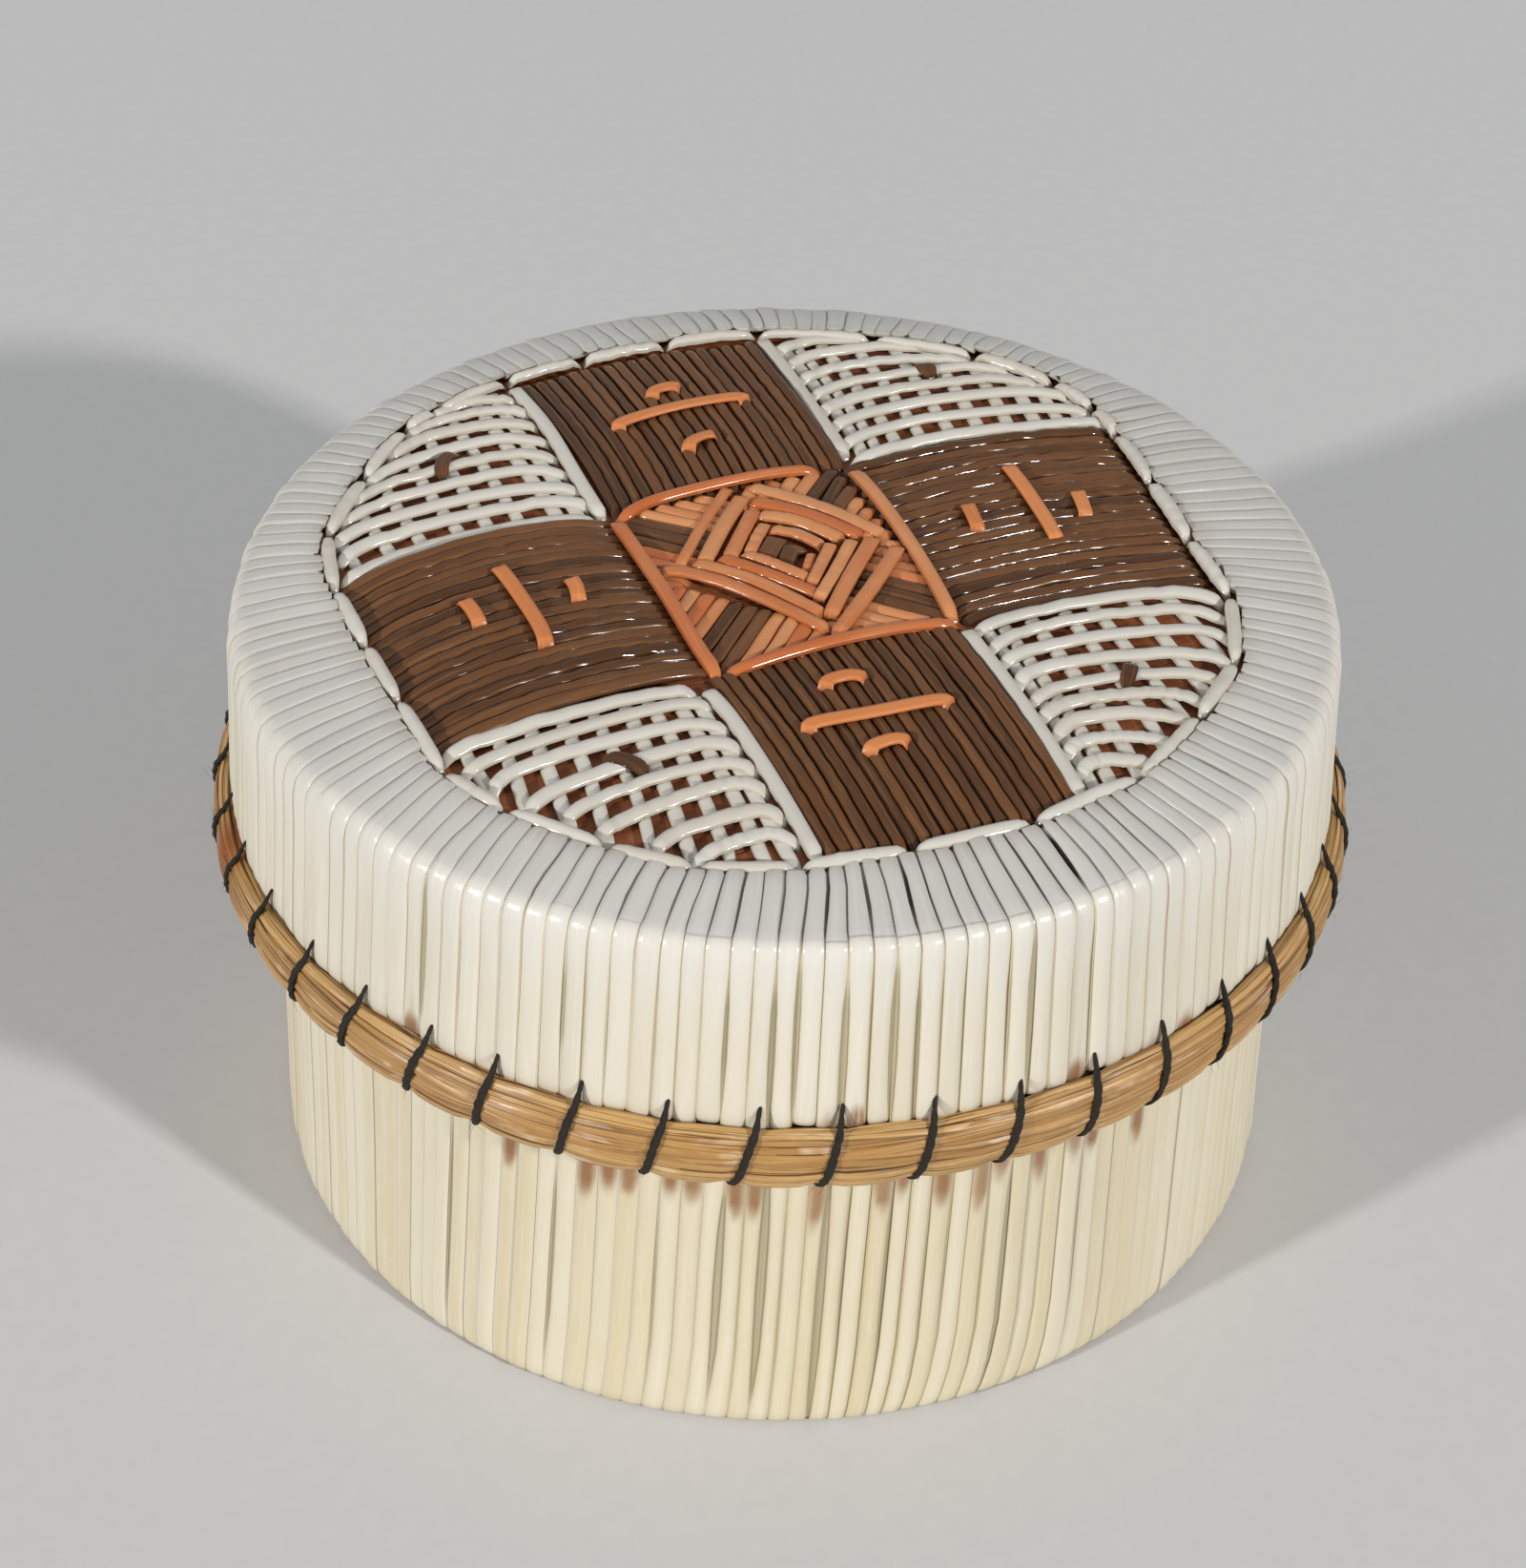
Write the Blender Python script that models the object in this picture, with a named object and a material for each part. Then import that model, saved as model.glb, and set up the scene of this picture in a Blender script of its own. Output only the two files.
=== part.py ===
"""A round birch-bark box covered in quills, with a lift-off lid edged in sweetgrass.

Sizes are in metres and +Z is up. The origin is the middle of the underside. The lid's top carries
a cross whose arms lie along X and Y, round a square of wrapped quills, with open lattices between
the arms. The lid hangs from the empty lid_axis, and lifts off along +Z.
"""

from math import atan2, cos, hypot, pi, radians, sin, sqrt

import bmesh
import bpy

# Lid and base
LID_RADIUS = 0.0549  # over the quills on the side of the lid
BASE_HEIGHT = 0.0602  # bark rim of the base, on which the lid rests
LID_EDGE_HEIGHT = 0.0369  # lower edge of the lid above the table
DOME_RISE = 0.0018  # how far the top swells from its edge to its middle
BARK_WALL = 0.0012
BARK_DISC = 0.0013
LINING = 0.0006
LINING_STEP = 0.0010  # how far a lining stops short of the edge it lines
GAP = 0.0003  # between pieces that touch
LID_CLEARANCE = 0.0004  # lining of the lid to the quills of the base
FACET_QUILLS = 4  # the bark has a facet for every four quills

# Quills over the rim of the lid and round the base
QUILL_COUNT = 164
QUILL_THICKNESS = 0.0010
GROOVE_SHARE = 0.45  # depth between two quills, of their thickness
LID_FOLD_RADIUS = 0.0045
BASE_FOLD_RADIUS = 0.0018
BASE_FLARE = 0.0009  # how much wider the base is at its foot than under the lid
BASE_HEM = 0.0040  # quill ends turned in under the base
BASE_QUILL_COVER = 0.0035  # ends of the base quills above the lower edge of the lid

# Sweetgrass edge and the thread whipped round it
BUNDLE_WIDTH = 0.0024
BUNDLE_HEIGHT = 0.0056
BUNDLE_SIDES = 8
THREAD_DIAMETER = 0.00065
THREAD_GAP = 0.00015
STITCH_COUNT = 43
BUNDLE_FACETS_PER_STITCH = 2
OUTER_TURN_SHARE = 0.36  # how much of a stitch's step is taken on its outer half

# Ring of straight quills round the design
RIM_RUN = 0.0079  # from the ring, at the ends of the cross, to the bend of the rim quills
RING_BULGE = 0.0025  # how much further out the ring lies between the arms
RING_QUILLS = 26
RING_WIDTH = 0.0016
RING_THICKNESS = 0.0012

# Cross and square
ARM_WIDTH = 0.0260
ARM_QUILLS = 20
ARM_THICKNESS = 0.0008
BORDER_WIDTH = 0.0014
BORDER_THICKNESS = 0.0011
DIAMOND_RINGS = 5
DIAMOND_THICKNESS = 0.0012
FAN_QUILLS = 10
FAN_THICKNESS = 0.0008
FAN_END = 0.0006  # shortest quill of a corner fan

# Dyed stitches
BAR_LENGTH = 0.0135
DASH_LENGTH = 0.0040
BAR_WIDTH = 0.0015
BAR_THICKNESS = 0.0007
BAR_PLACE_SHARE = 0.493  # along an arm, from the square to the ring
INNER_DASH_PLACE_SHARE = 0.27
OUTER_DASH_PLACE_SHARE = 0.673
TIP_SHARE = 0.7  # where a stitch starts to taper, of half its length
TIP_SIZE_SHARE = 0.5  # size of its tip, of its width and thickness
LATTICE_STITCH_X_SHARE = 0.70  # from the corner of the square to the ring
LATTICE_STITCH_Y_SHARE = 0.84

# Open lattices
LATTICE_PITCH = 0.0034
LATTICE_QUILL = 0.0019
LATTICE_THICKNESS = 0.0008
STUB_SHARE = 0.6  # how far a warp passes its last weft, of the hole
LEAST_STUB = 0.0004

# The shoulders of a single quill, of its thickness
SHOULDER_SHARE = 0.55
SHARP_ANGLE = 40  # degrees

# The bark, from the outside in
BARK_RADIUS = LID_RADIUS - QUILL_THICKNESS - GAP
LID_LINING_RADIUS = BARK_RADIUS - BARK_WALL - GAP
BASE_RADIUS = LID_LINING_RADIUS - LINING - LID_CLEARANCE
BASE_BARK_RADIUS = BASE_RADIUS - QUILL_THICKNESS - GAP
BASE_LINING_RADIUS = BASE_BARK_RADIUS - BARK_WALL - GAP
FACETS = QUILL_COUNT // FACET_QUILLS
COLUMNS_PER_FACET = 2 * FACET_QUILLS
QUARTER = pi / 2

# Heights and folds that follow from these
BASE_QUILL_TOP = LID_EDGE_HEIGHT + BASE_QUILL_COVER
LID_QUILL_END = LID_EDGE_HEIGHT + BUNDLE_HEIGHT + THREAD_GAP + THREAD_DIAMETER + GAP
LID_FOLD_MIDDLE = LID_RADIUS - LID_FOLD_RADIUS
RING_RADIUS = LID_FOLD_MIDDLE - RIM_RUN
# What a fold cuts off the corner inside it, to be as thick as the quill all the way round
LID_INNER_CUT = (2 - sqrt(2)) * (LID_FOLD_RADIUS - QUILL_THICKNESS)
BASE_INNER_CUT = BASE_FOLD_RADIUS - (2 - sqrt(2)) * QUILL_THICKNESS


def flare(height):
    """How much wider the base is at a height than under the lid."""
    return BASE_FLARE * max(0, 1 - height / BASE_QUILL_TOP)


def dome(radius):
    """Height of the swelling of the top over its edge."""
    return DOME_RISE * (1 - (radius / BARK_RADIUS) ** 2)


# The lining of the lid's top rests on the rim of the base
LID_SEAT = BASE_HEIGHT + GAP - dome(BASE_BARK_RADIUS)


def lining_top(radius):
    """Height of the upper face of the lining under the lid's top."""
    return LID_SEAT + LINING + dome(radius)


def bark_top(radius):
    """Height of the upper face of the lid's bark disc."""
    return lining_top(radius) + GAP + BARK_DISC


def bark_at(x, y):
    """Height of the bark under a point of the design."""
    return bark_top(hypot(x, y))


def ring_radius(angle):
    """Middle line of the ring round the design: a circle that bulges between the arms."""
    return RING_RADIUS + RING_BULGE * (1 - cos(4 * angle)) / 2


def design_radius(angle):
    """How far the design may reach inside the straight quills of the ring."""
    return ring_radius(angle) * cos(pi / RING_QUILLS) - RING_WIDTH / 2 - GAP


def design_reach(across):
    """How far along an axis the design reaches at a distance across from that axis."""
    along = RING_RADIUS
    for _ in range(8):
        limit = design_radius(atan2(along, across))
        along = sqrt(max(limit ** 2 - across ** 2, 0))
    return along


def material(name, colour, roughness):
    """A plain finish."""
    finish = bpy.data.materials.new(name)
    finish.use_nodes = True
    shader = finish.node_tree.nodes["Principled BSDF"]
    shader.inputs["Base Color"].default_value = (*colour, 1)
    shader.inputs["Roughness"].default_value = roughness
    shader.inputs["Metallic"].default_value = 0
    finish.diffuse_color = (*colour, 1)
    return finish


def finish_object(name, shape, finish, parent):
    """Turn a closed bmesh into a named, smooth-shaded object."""
    bmesh.ops.recalc_face_normals(shape, faces=shape.faces)
    mesh = bpy.data.meshes.new(name)
    shape.to_mesh(mesh)
    shape.free()
    mesh.materials.append(finish)
    mesh.shade_smooth()
    mesh.set_sharp_from_angle(angle=radians(SHARP_ANGLE))
    piece = bpy.data.objects.new(name, mesh)
    bpy.context.collection.objects.link(piece)
    piece.parent = parent
    return piece


def solid(name, points, faces, finish, parent):
    """A closed piece from points and faces."""
    shape = bmesh.new()
    corners = [shape.verts.new(point) for point in points]
    for face in faces:
        shape.faces.new([corners[index] for index in face])
    return finish_object(name, shape, finish, parent)


def turned(name, profile, finish, parent, closed=True):
    """A piece of bark bent round: a profile of (radius, height) spun about Z."""
    shape = bmesh.new()
    corners = [shape.verts.new((radius, 0, height)) for radius, height in profile]
    ends = corners[1:] + corners[:1] if closed else corners[1:]
    edges = [shape.edges.new(pair) for pair in zip(corners, ends)]
    bmesh.ops.spin(
        shape,
        geom=corners + edges,
        cent=(0, 0, 0),
        axis=(0, 0, 1),
        angle=2 * pi,
        steps=FACETS,
        use_merge=True,
    )
    bmesh.ops.remove_doubles(shape, verts=shape.verts, dist=GAP / 100)
    return finish_object(name, shape, finish, parent)


def band(name, outline, wall, finish, parent):
    """A band of bark bent round, from its outer outline and the thickness of its wall."""
    inside = [(radius - wall, height) for radius, height in reversed(outline)]
    return turned(name, outline + inside, finish, parent)


def flat_disc(name, radius, low, high, finish, parent):
    """A flat disc of bark."""
    profile = [(0, high), (radius, high), (radius, low), (0, low)]
    return turned(name, profile, finish, parent, closed=False)


def quill_ring(name, outer_profile, inner_profile, finish, parent):
    """Quills side by side round the box, fused at their edges.

    Each quill has a crown line and shares a groove line with its neighbours. outer_profile(angle,
    drop) gives a line's (radius, height) points, and inner_profile(angle) those against the bark.
    """
    columns = FACETS * COLUMNS_PER_FACET
    points = []
    for column in range(columns):
        angle = 2 * pi * column / columns
        drop = 0 if column % 2 else QUILL_THICKNESS * GROOVE_SHARE
        for radius, height in outer_profile(angle, drop):
            points.append((radius * cos(angle), radius * sin(angle), height))
    rows = len(points) // columns
    inner_start = len(points)
    for facet in range(FACETS):
        angle = 2 * pi * facet / FACETS
        for radius, height in inner_profile(angle):
            points.append((radius * cos(angle), radius * sin(angle), height))
    inner_rows = (len(points) - inner_start) // FACETS

    def outer(column, row):
        return (column % columns) * rows + row

    def inner(facet, row):
        return inner_start + (facet % FACETS) * inner_rows + row

    faces = []
    for column in range(columns):
        for row in range(rows - 1):
            after = column + 1
            faces.append((outer(column, row), outer(column, row + 1),
                          outer(after, row + 1), outer(after, row)))
    for facet in range(FACETS):
        after = facet + 1
        for row in range(inner_rows - 1):
            faces.append((inner(facet, row), inner(after, row),
                          inner(after, row + 1), inner(facet, row + 1)))
        first = facet * COLUMNS_PER_FACET
        span = range(first, first + COLUMNS_PER_FACET + 1)
        for row, inner_row in ((0, 0), (rows - 1, inner_rows - 1)):
            edge = [outer(column, row) for column in span]
            faces.append((*edge, inner(after, inner_row), inner(facet, inner_row)))
    return solid(name, points, faces, finish, parent)


def base_quills(finish):
    """Quills down the side of the base, folded in under its edge as a flat hem."""
    foot = BASE_RADIUS + flare(BASE_FOLD_RADIUS)
    inside_foot = foot - QUILL_THICKNESS
    hem = foot - BASE_FOLD_RADIUS - BASE_HEM

    def outer_profile(angle, drop):
        return [
            (BASE_RADIUS - drop, BASE_QUILL_TOP),
            (foot - drop, BASE_FOLD_RADIUS),
            (foot - BASE_FOLD_RADIUS, 0),
        ]

    def inner_profile(angle):
        return [
            (BASE_RADIUS - QUILL_THICKNESS, BASE_QUILL_TOP),
            (inside_foot, QUILL_THICKNESS + BASE_INNER_CUT),
            (inside_foot - BASE_INNER_CUT, QUILL_THICKNESS),
            (hem, QUILL_THICKNESS),
            (hem, 0),
        ]

    return quill_ring("base_side_quills", outer_profile, inner_profile, finish, None)


def rim_quills(finish, parent):
    """Quills that run out from the ring, bend over the edge and run down the side of the lid."""
    fold_height = bark_top(LID_FOLD_MIDDLE) + GAP + QUILL_THICKNESS - LID_FOLD_RADIUS
    inside = BARK_RADIUS + GAP
    corner = bark_top(BARK_RADIUS) + GAP

    def start(angle):
        return ring_radius(angle) + RING_WIDTH / 2 + GAP

    def outer_profile(angle, drop):
        profile = [(start(angle), bark_top(start(angle)) + GAP + QUILL_THICKNESS - drop)]
        for turn in (QUARTER, QUARTER / 2, 0):
            reach = LID_FOLD_RADIUS - drop
            profile.append((LID_FOLD_MIDDLE + reach * cos(turn), fold_height + reach * sin(turn)))
        return [*profile, (LID_RADIUS - drop, LID_QUILL_END)]

    def inner_profile(angle):
        return [
            (start(angle), bark_top(start(angle)) + GAP),
            (inside - LID_INNER_CUT, bark_top(BARK_RADIUS - LID_INNER_CUT) + GAP),
            (inside, corner - LID_INNER_CUT),
            (inside, LID_QUILL_END),
        ]

    return quill_ring("lid_rim_quills", outer_profile, inner_profile, finish, parent)


def top_disc(finish, parent):
    """The domed bark disc of the lid, its edge cut back under the bend of the quills."""
    edge_top = BARK_RADIUS - LID_INNER_CUT + (2 - sqrt(2)) * GAP
    edge_low = min(edge_top + BARK_DISC, BARK_RADIUS)
    third = edge_top / 3
    profile = [(radius, bark_top(radius)) for radius in (0, third, 2 * third, edge_top)]
    for radius in (edge_low, 2 * third, third, 0):
        profile.append((radius, bark_top(radius) - BARK_DISC))
    return turned("lid_top_disc", profile, finish, parent, closed=False)


def top_lining(finish, parent):
    """The domed lining under the bark disc, which meets the rim of the base."""
    edge = LID_LINING_RADIUS
    profile = [(radius, lining_top(radius)) for radius in (0, edge / 2, edge)]
    profile += [(radius, lining_top(radius) - LINING) for radius in (edge, edge / 2, 0)]
    return turned("lid_top_lining", profile, finish, parent, closed=False)


def bundle_point(turn, phase, spread):
    """A point round the sweetgrass edge, spread outside its oval section."""
    reach = BUNDLE_WIDTH / 2 + spread
    middle = BARK_RADIUS + GAP + THREAD_DIAMETER + THREAD_GAP + BUNDLE_WIDTH / 2
    radius = middle + reach * cos(phase)
    height = LID_EDGE_HEIGHT + BUNDLE_HEIGHT / 2 + (BUNDLE_HEIGHT / 2 + spread) * sin(phase)
    return (radius * cos(turn), radius * sin(turn), height)


def sweetgrass(finish, parent):
    """A bundle of sweetgrass bent round the lower edge of the lid."""
    facets = STITCH_COUNT * BUNDLE_FACETS_PER_STITCH
    points = []
    for facet in range(facets):
        turn = 2 * pi * facet / facets
        points += [bundle_point(turn, 2 * pi * side / BUNDLE_SIDES, 0) for side in range(BUNDLE_SIDES)]
    faces = []
    for facet in range(facets):
        here = facet * BUNDLE_SIDES
        there = (facet + 1) % facets * BUNDLE_SIDES
        for side in range(BUNDLE_SIDES):
            after = (side + 1) % BUNDLE_SIDES
            faces.append((here + side, here + after, there + after, there + side))
    return solid("sweetgrass_bundle", points, faces, finish, parent)


def whipping_points():
    """The thread's route: one closed coil round the sweetgrass, a turn to each stitch."""
    step = 2 * pi / STITCH_COUNT
    points = []
    for stitch in range(STITCH_COUNT):
        for side in range(BUNDLE_SIDES):
            share = side / BUNDLE_SIDES
            if share < 0.5:
                advance = 2 * share * OUTER_TURN_SHARE
            else:
                advance = OUTER_TURN_SHARE + (2 * share - 1) * (1 - OUTER_TURN_SHARE)
            phase = 2 * pi * share - QUARTER
            spread = THREAD_GAP + THREAD_DIAMETER / 2
            points.append(bundle_point(step * (stitch + advance), phase, spread))
    return points


def least_gap(points):
    """The least gap between a turn of the thread and the next, measured on points."""
    nearest = LID_RADIUS
    count = len(points)
    for index in range(count):
        for step in range(BUNDLE_SIDES - 1, BUNDLE_SIDES + 2):
            other = points[(index + step) % count]
            here = points[index]
            nearest = min(nearest, hypot(*(here[axis] - other[axis] for axis in range(3))))
    return nearest - THREAD_DIAMETER


def whipping_thread(finish, parent):
    """Black thread wound round the sweetgrass in slanting stitches."""
    points = whipping_points()
    print(f"whipping_thread: least gap to itself {least_gap(points) * 1000:.2f} mm")
    curve = bpy.data.curves.new("whipping_thread", "CURVE")
    curve.dimensions = "3D"
    curve.bevel_depth = THREAD_DIAMETER / 2
    curve.bevel_resolution = 0
    line = curve.splines.new("POLY")
    line.points.add(len(points) - 1)
    for point, place in zip(line.points, points):
        point.co = (*place, 1)
    line.use_cyclic_u = True
    line.use_smooth = True
    curve.materials.append(finish)
    piece = bpy.data.objects.new("whipping_thread", curve)
    bpy.context.collection.objects.link(piece)
    piece.parent = parent
    return piece


def quill_section(width, thickness):
    """Section of a flattened quill: flat below, with shoulders and a crown, as (across, up)."""
    return [
        (-width / 2, 0),
        (width / 2, 0),
        (width / 2, thickness * SHOULDER_SHARE),
        (0, thickness),
        (-width / 2, thickness * SHOULDER_SHARE),
    ]


def quill_strip(name, stations, finish, parent, lift, closed=False):
    """A straight quill laid on the dome through stations of (x, y, across x, across y, section)."""
    points = []
    for x, y, side_x, side_y, section in stations:
        for across, up in section:
            place_x = x + across * side_x
            place_y = y + across * side_y
            points.append((place_x, place_y, bark_at(place_x, place_y) + lift + up))
    sides = len(stations[0][4])
    spans = len(stations) if closed else len(stations) - 1
    faces = []
    for span in range(spans):
        here = span * sides
        there = (span + 1) % len(stations) * sides
        for side in range(sides):
            after = (side + 1) % sides
            faces.append((here + side, here + after, there + after, there + side))
    if not closed:
        faces.append(tuple(range(sides)))
        faces.append(tuple(range(len(points) - sides, len(points))))
    return solid(name, points, faces, finish, parent)


def straight_quill(name, start, end, width, thickness, lift, finish, parent, tapered=False):
    """A quill from start to end, with both tips drawn in if it is tapered."""
    run_x = end[0] - start[0]
    run_y = end[1] - start[1]
    length = hypot(run_x, run_y)
    side_x = run_y / length
    side_y = -run_x / length
    full = quill_section(width, thickness)
    tip = quill_section(width * TIP_SIZE_SHARE, thickness * TIP_SIZE_SHARE)
    inset = (1 - TIP_SHARE) / 2
    if tapered:
        layout = [(0, tip), (inset, full), (1 - inset, full), (1, tip)]
    else:
        layout = [(0, full), (0.5, full), (1, full)]
    stations = []
    for share, section in layout:
        stations.append((start[0] + run_x * share, start[1] + run_y * share, side_x, side_y, section))
    return quill_strip(name, stations, finish, parent, lift)


def turn_point(along, across, direction):
    """A point of a pattern laid along a direction, seen from above."""
    x = along * cos(direction) - across * sin(direction)
    y = along * sin(direction) + across * cos(direction)
    return (x, y)


def quill_panel(name, direction, half_width, quills, shares, start, end, thickness, finish, parent):
    """Quills side by side along a direction, fused at their edges, from start to end(across).

    Every half of the panel's quills share one facet below, and shares are the stations along it.
    """
    columns = 2 * quills + 1
    group = quills
    points = []

    def add(share, across, up):
        along = start + (end(across) - start) * share
        x, y = turn_point(along, across, direction)
        points.append((x, y, bark_at(x, y) + GAP + up))

    for column in range(columns):
        crown = thickness if column % 2 else thickness * (1 - GROOVE_SHARE)
        for share in shares:
            add(share, half_width * (column / quills - 1), crown)
    under = len(points)
    for column in range(0, columns, group):
        for share in shares:
            add(share, half_width * (column / quills - 1), 0)
    rows = len(shares)
    faces = []
    for column in range(columns - 1):
        for row in range(rows - 1):
            here = column * rows + row
            faces.append((here, here + 1, here + rows + 1, here + rows))
    for part in range((columns - 1) // group):
        below = under + part * rows
        for row in range(rows - 1):
            faces.append((below + row, below + row + 1, below + rows + row + 1, below + rows + row))
        for row in (0, rows - 1):
            edge = [column * rows + row for column in range(part * group, (part + 1) * group + 1)]
            faces.append((*edge, below + rows + row, below + row))
    last = (columns - 1) * rows
    last_under = under + (columns - 1) // group * rows
    for row in range(rows - 1):
        faces.append((row, row + 1, under + row + 1, under + row))
        faces.append((last + row, last + row + 1, last_under + row + 1, last_under + row))
    return solid(name, points, faces, finish, parent)


def lattice(name, side_x, side_y, finish, parent):
    """Wefts along X and warps along Y between two arms, with holes to the bark.

    It is worked out for the quarter where x and y are positive, and turned over by the two signs.
    """
    first_x = ARM_WIDTH / 2 + GAP + BORDER_WIDTH + GAP
    first_y = ARM_WIDTH / 2 + GAP
    hole = LATTICE_PITCH - LATTICE_QUILL

    def left(column):
        return first_x + column * LATTICE_PITCH

    def low(row):
        return first_y + row * LATTICE_PITCH

    def reaches(column, row):
        far_x = left(column) + LATTICE_QUILL
        far_y = low(row) + LATTICE_QUILL
        return hypot(far_x, far_y) < design_radius(atan2(far_y, far_x))

    crossings = set()
    count = int(LID_RADIUS / LATTICE_PITCH)
    for row in range(count):
        for column in range(count):
            if reaches(column, row):
                crossings.add((column, row))

    cells = []
    for column, row in crossings:
        x0, y0 = left(column), low(row)
        x1, y1 = x0 + LATTICE_QUILL, y0 + LATTICE_QUILL
        cells.append([(x0, y0), (x1, y0), (x1, y1), (x0, y1)])
        if (column + 1, row) in crossings:
            x2 = left(column + 1)
            cells.append([(x1, y0), (x2, y0), (x2, y1), (x1, y1)])
        elif design_reach(y1) > x1 + LEAST_STUB:
            cells.append([(x1, y0), (design_reach(y0), y0), (design_reach(y1), y1), (x1, y1)])
        if (column, row + 1) in crossings:
            y2 = low(row + 1)
            cells.append([(x0, y1), (x1, y1), (x1, y2), (x0, y2)])
        elif design_reach(x1) > y1 + LEAST_STUB:
            stub = y1 + hole * STUB_SHARE
            y2 = min(stub, design_reach(x0))
            y3 = min(stub, design_reach(x1))
            cells.append([(x0, y1), (x1, y1), (x1, y3), (x0, y2)])

    places = []
    index = {}
    edges = {}
    faces = []
    for cell in cells:
        for place in cell:
            if place not in index:
                index[place] = len(places)
                places.append(place)
        corners = [index[place] for place in cell]
        faces.append(tuple(2 * corner for corner in corners))
        faces.append(tuple(2 * corner + 1 for corner in corners))
        for pair in zip(corners, corners[1:] + corners[:1]):
            key = tuple(sorted(pair))
            edges[key] = edges.get(key, 0) + 1
    for (first, second), uses in edges.items():
        if uses == 1:
            faces.append((2 * first, 2 * second, 2 * second + 1, 2 * first + 1))
    points = []
    for x, y in places:
        height = bark_at(x, y) + GAP
        points.append((side_x * x, side_y * y, height + LATTICE_THICKNESS))
        points.append((side_x * x, side_y * y, height))
    return solid(name, points, faces, finish, parent)


def ring_of_quills(finish, parent):
    """Straight quills end to end round the design."""
    section = quill_section(RING_WIDTH, RING_THICKNESS)
    stations = []
    for corner in range(RING_QUILLS):
        angle = 2 * pi * (corner + 0.5) / RING_QUILLS
        radius = ring_radius(angle)
        stations.append((radius * cos(angle), radius * sin(angle), cos(angle), sin(angle), section))
    return quill_strip("scallop_ring", stations, finish, parent, GAP, closed=True)


def diamond_ring(name, half, width, finish, parent):
    """A square of quills set on its corner, half its diagonal from the middle."""
    section = quill_section(width * sqrt(2), DIAMOND_THICKNESS)
    stations = []
    for corner in range(4):
        angle = corner * QUARTER
        middle = half - width / sqrt(2)
        stations.append((middle * cos(angle), middle * sin(angle), cos(angle), sin(angle), section))
    return quill_strip(name, stations, finish, parent, GAP, closed=True)


def cross(brown, orange, white, parent):
    """The four arms, the white quills beside two of them, and the dyed stitches across them."""
    arms = {"right": 0, "back": QUARTER, "left": 2 * QUARTER, "front": 3 * QUARTER}
    lift = 2 * GAP + ARM_THICKNESS
    arm_start = ARM_WIDTH / 2 + GAP
    arm_run = design_reach(0) - arm_start
    for side, direction in arms.items():
        quill_panel(f"arm_{side}", direction, ARM_WIDTH / 2, ARM_QUILLS, (0, 0.5, 1),
                    arm_start, design_reach, ARM_THICKNESS, brown, parent)
        stitches = {
            "bar": (BAR_PLACE_SHARE, BAR_LENGTH),
            "inner_dash": (INNER_DASH_PLACE_SHARE, DASH_LENGTH),
            "outer_dash": (OUTER_DASH_PLACE_SHARE, DASH_LENGTH),
        }
        for kind, (share, length) in stitches.items():
            place = arm_start + arm_run * share
            start = turn_point(place, -length / 2, direction)
            end = turn_point(place, length / 2, direction)
            straight_quill(f"{kind}_{side}", start, end, BAR_WIDTH, BAR_THICKNESS, lift,
                           orange, parent, tapered=True)
    middle = ARM_WIDTH / 2 + GAP + BORDER_WIDTH / 2
    far = design_reach(middle + BORDER_WIDTH / 2)
    for side_y, end in ((1, "back"), (-1, "front")):
        for side_x, side in ((1, "right"), (-1, "left")):
            straight_quill(f"border_{end}_{side}", (side_x * middle, side_y * arm_start),
                           (side_x * middle, side_y * far), BORDER_WIDTH, BORDER_THICKNESS, GAP,
                           white, parent)


def centre_square(orange, brown, parent):
    """Four quills round a diamond of wrapped quills, with a fan of quills in each corner."""
    half = ARM_WIDTH / 2
    middle = half - BORDER_WIDTH / 2
    inside = half - BORDER_WIDTH - GAP
    edge = inside / sqrt(2)
    for number in range(4):
        direction = number * QUARTER
        start = turn_point(middle, -half, direction)
        end = turn_point(middle, inside, direction)
        straight_quill(f"square_border_{number + 1}", start, end, BORDER_WIDTH, BORDER_THICKNESS,
                       GAP, orange, parent)

    def fan_end(across):
        return inside * sqrt(2) - abs(across)

    fan_start = edge + GAP
    fan_width = inside * sqrt(2) - fan_start - FAN_END
    for number in range(4):
        direction = (number + 0.5) * QUARTER
        quill_panel(f"corner_fan_{number + 1}", direction, fan_width, FAN_QUILLS, (0, 1),
                    fan_start, fan_end, FAN_THICKNESS, orange, parent)
    pitch = edge / (DIAMOND_RINGS + 0.5)
    for number in range(DIAMOND_RINGS):
        diamond_ring(f"diamond_ring_{number + 1}", (edge - number * pitch) * sqrt(2), pitch - GAP,
                     orange, parent)
    core = pitch / 2
    stations = []
    for across in (-core, core):
        x, y = turn_point(across, 0, QUARTER / 2)
        stations.append((x, y, cos(-QUARTER / 2), sin(-QUARTER / 2),
                         quill_section(2 * core, DIAMOND_THICKNESS)))
    quill_strip("diamond_core", stations, brown, parent, GAP)


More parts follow.
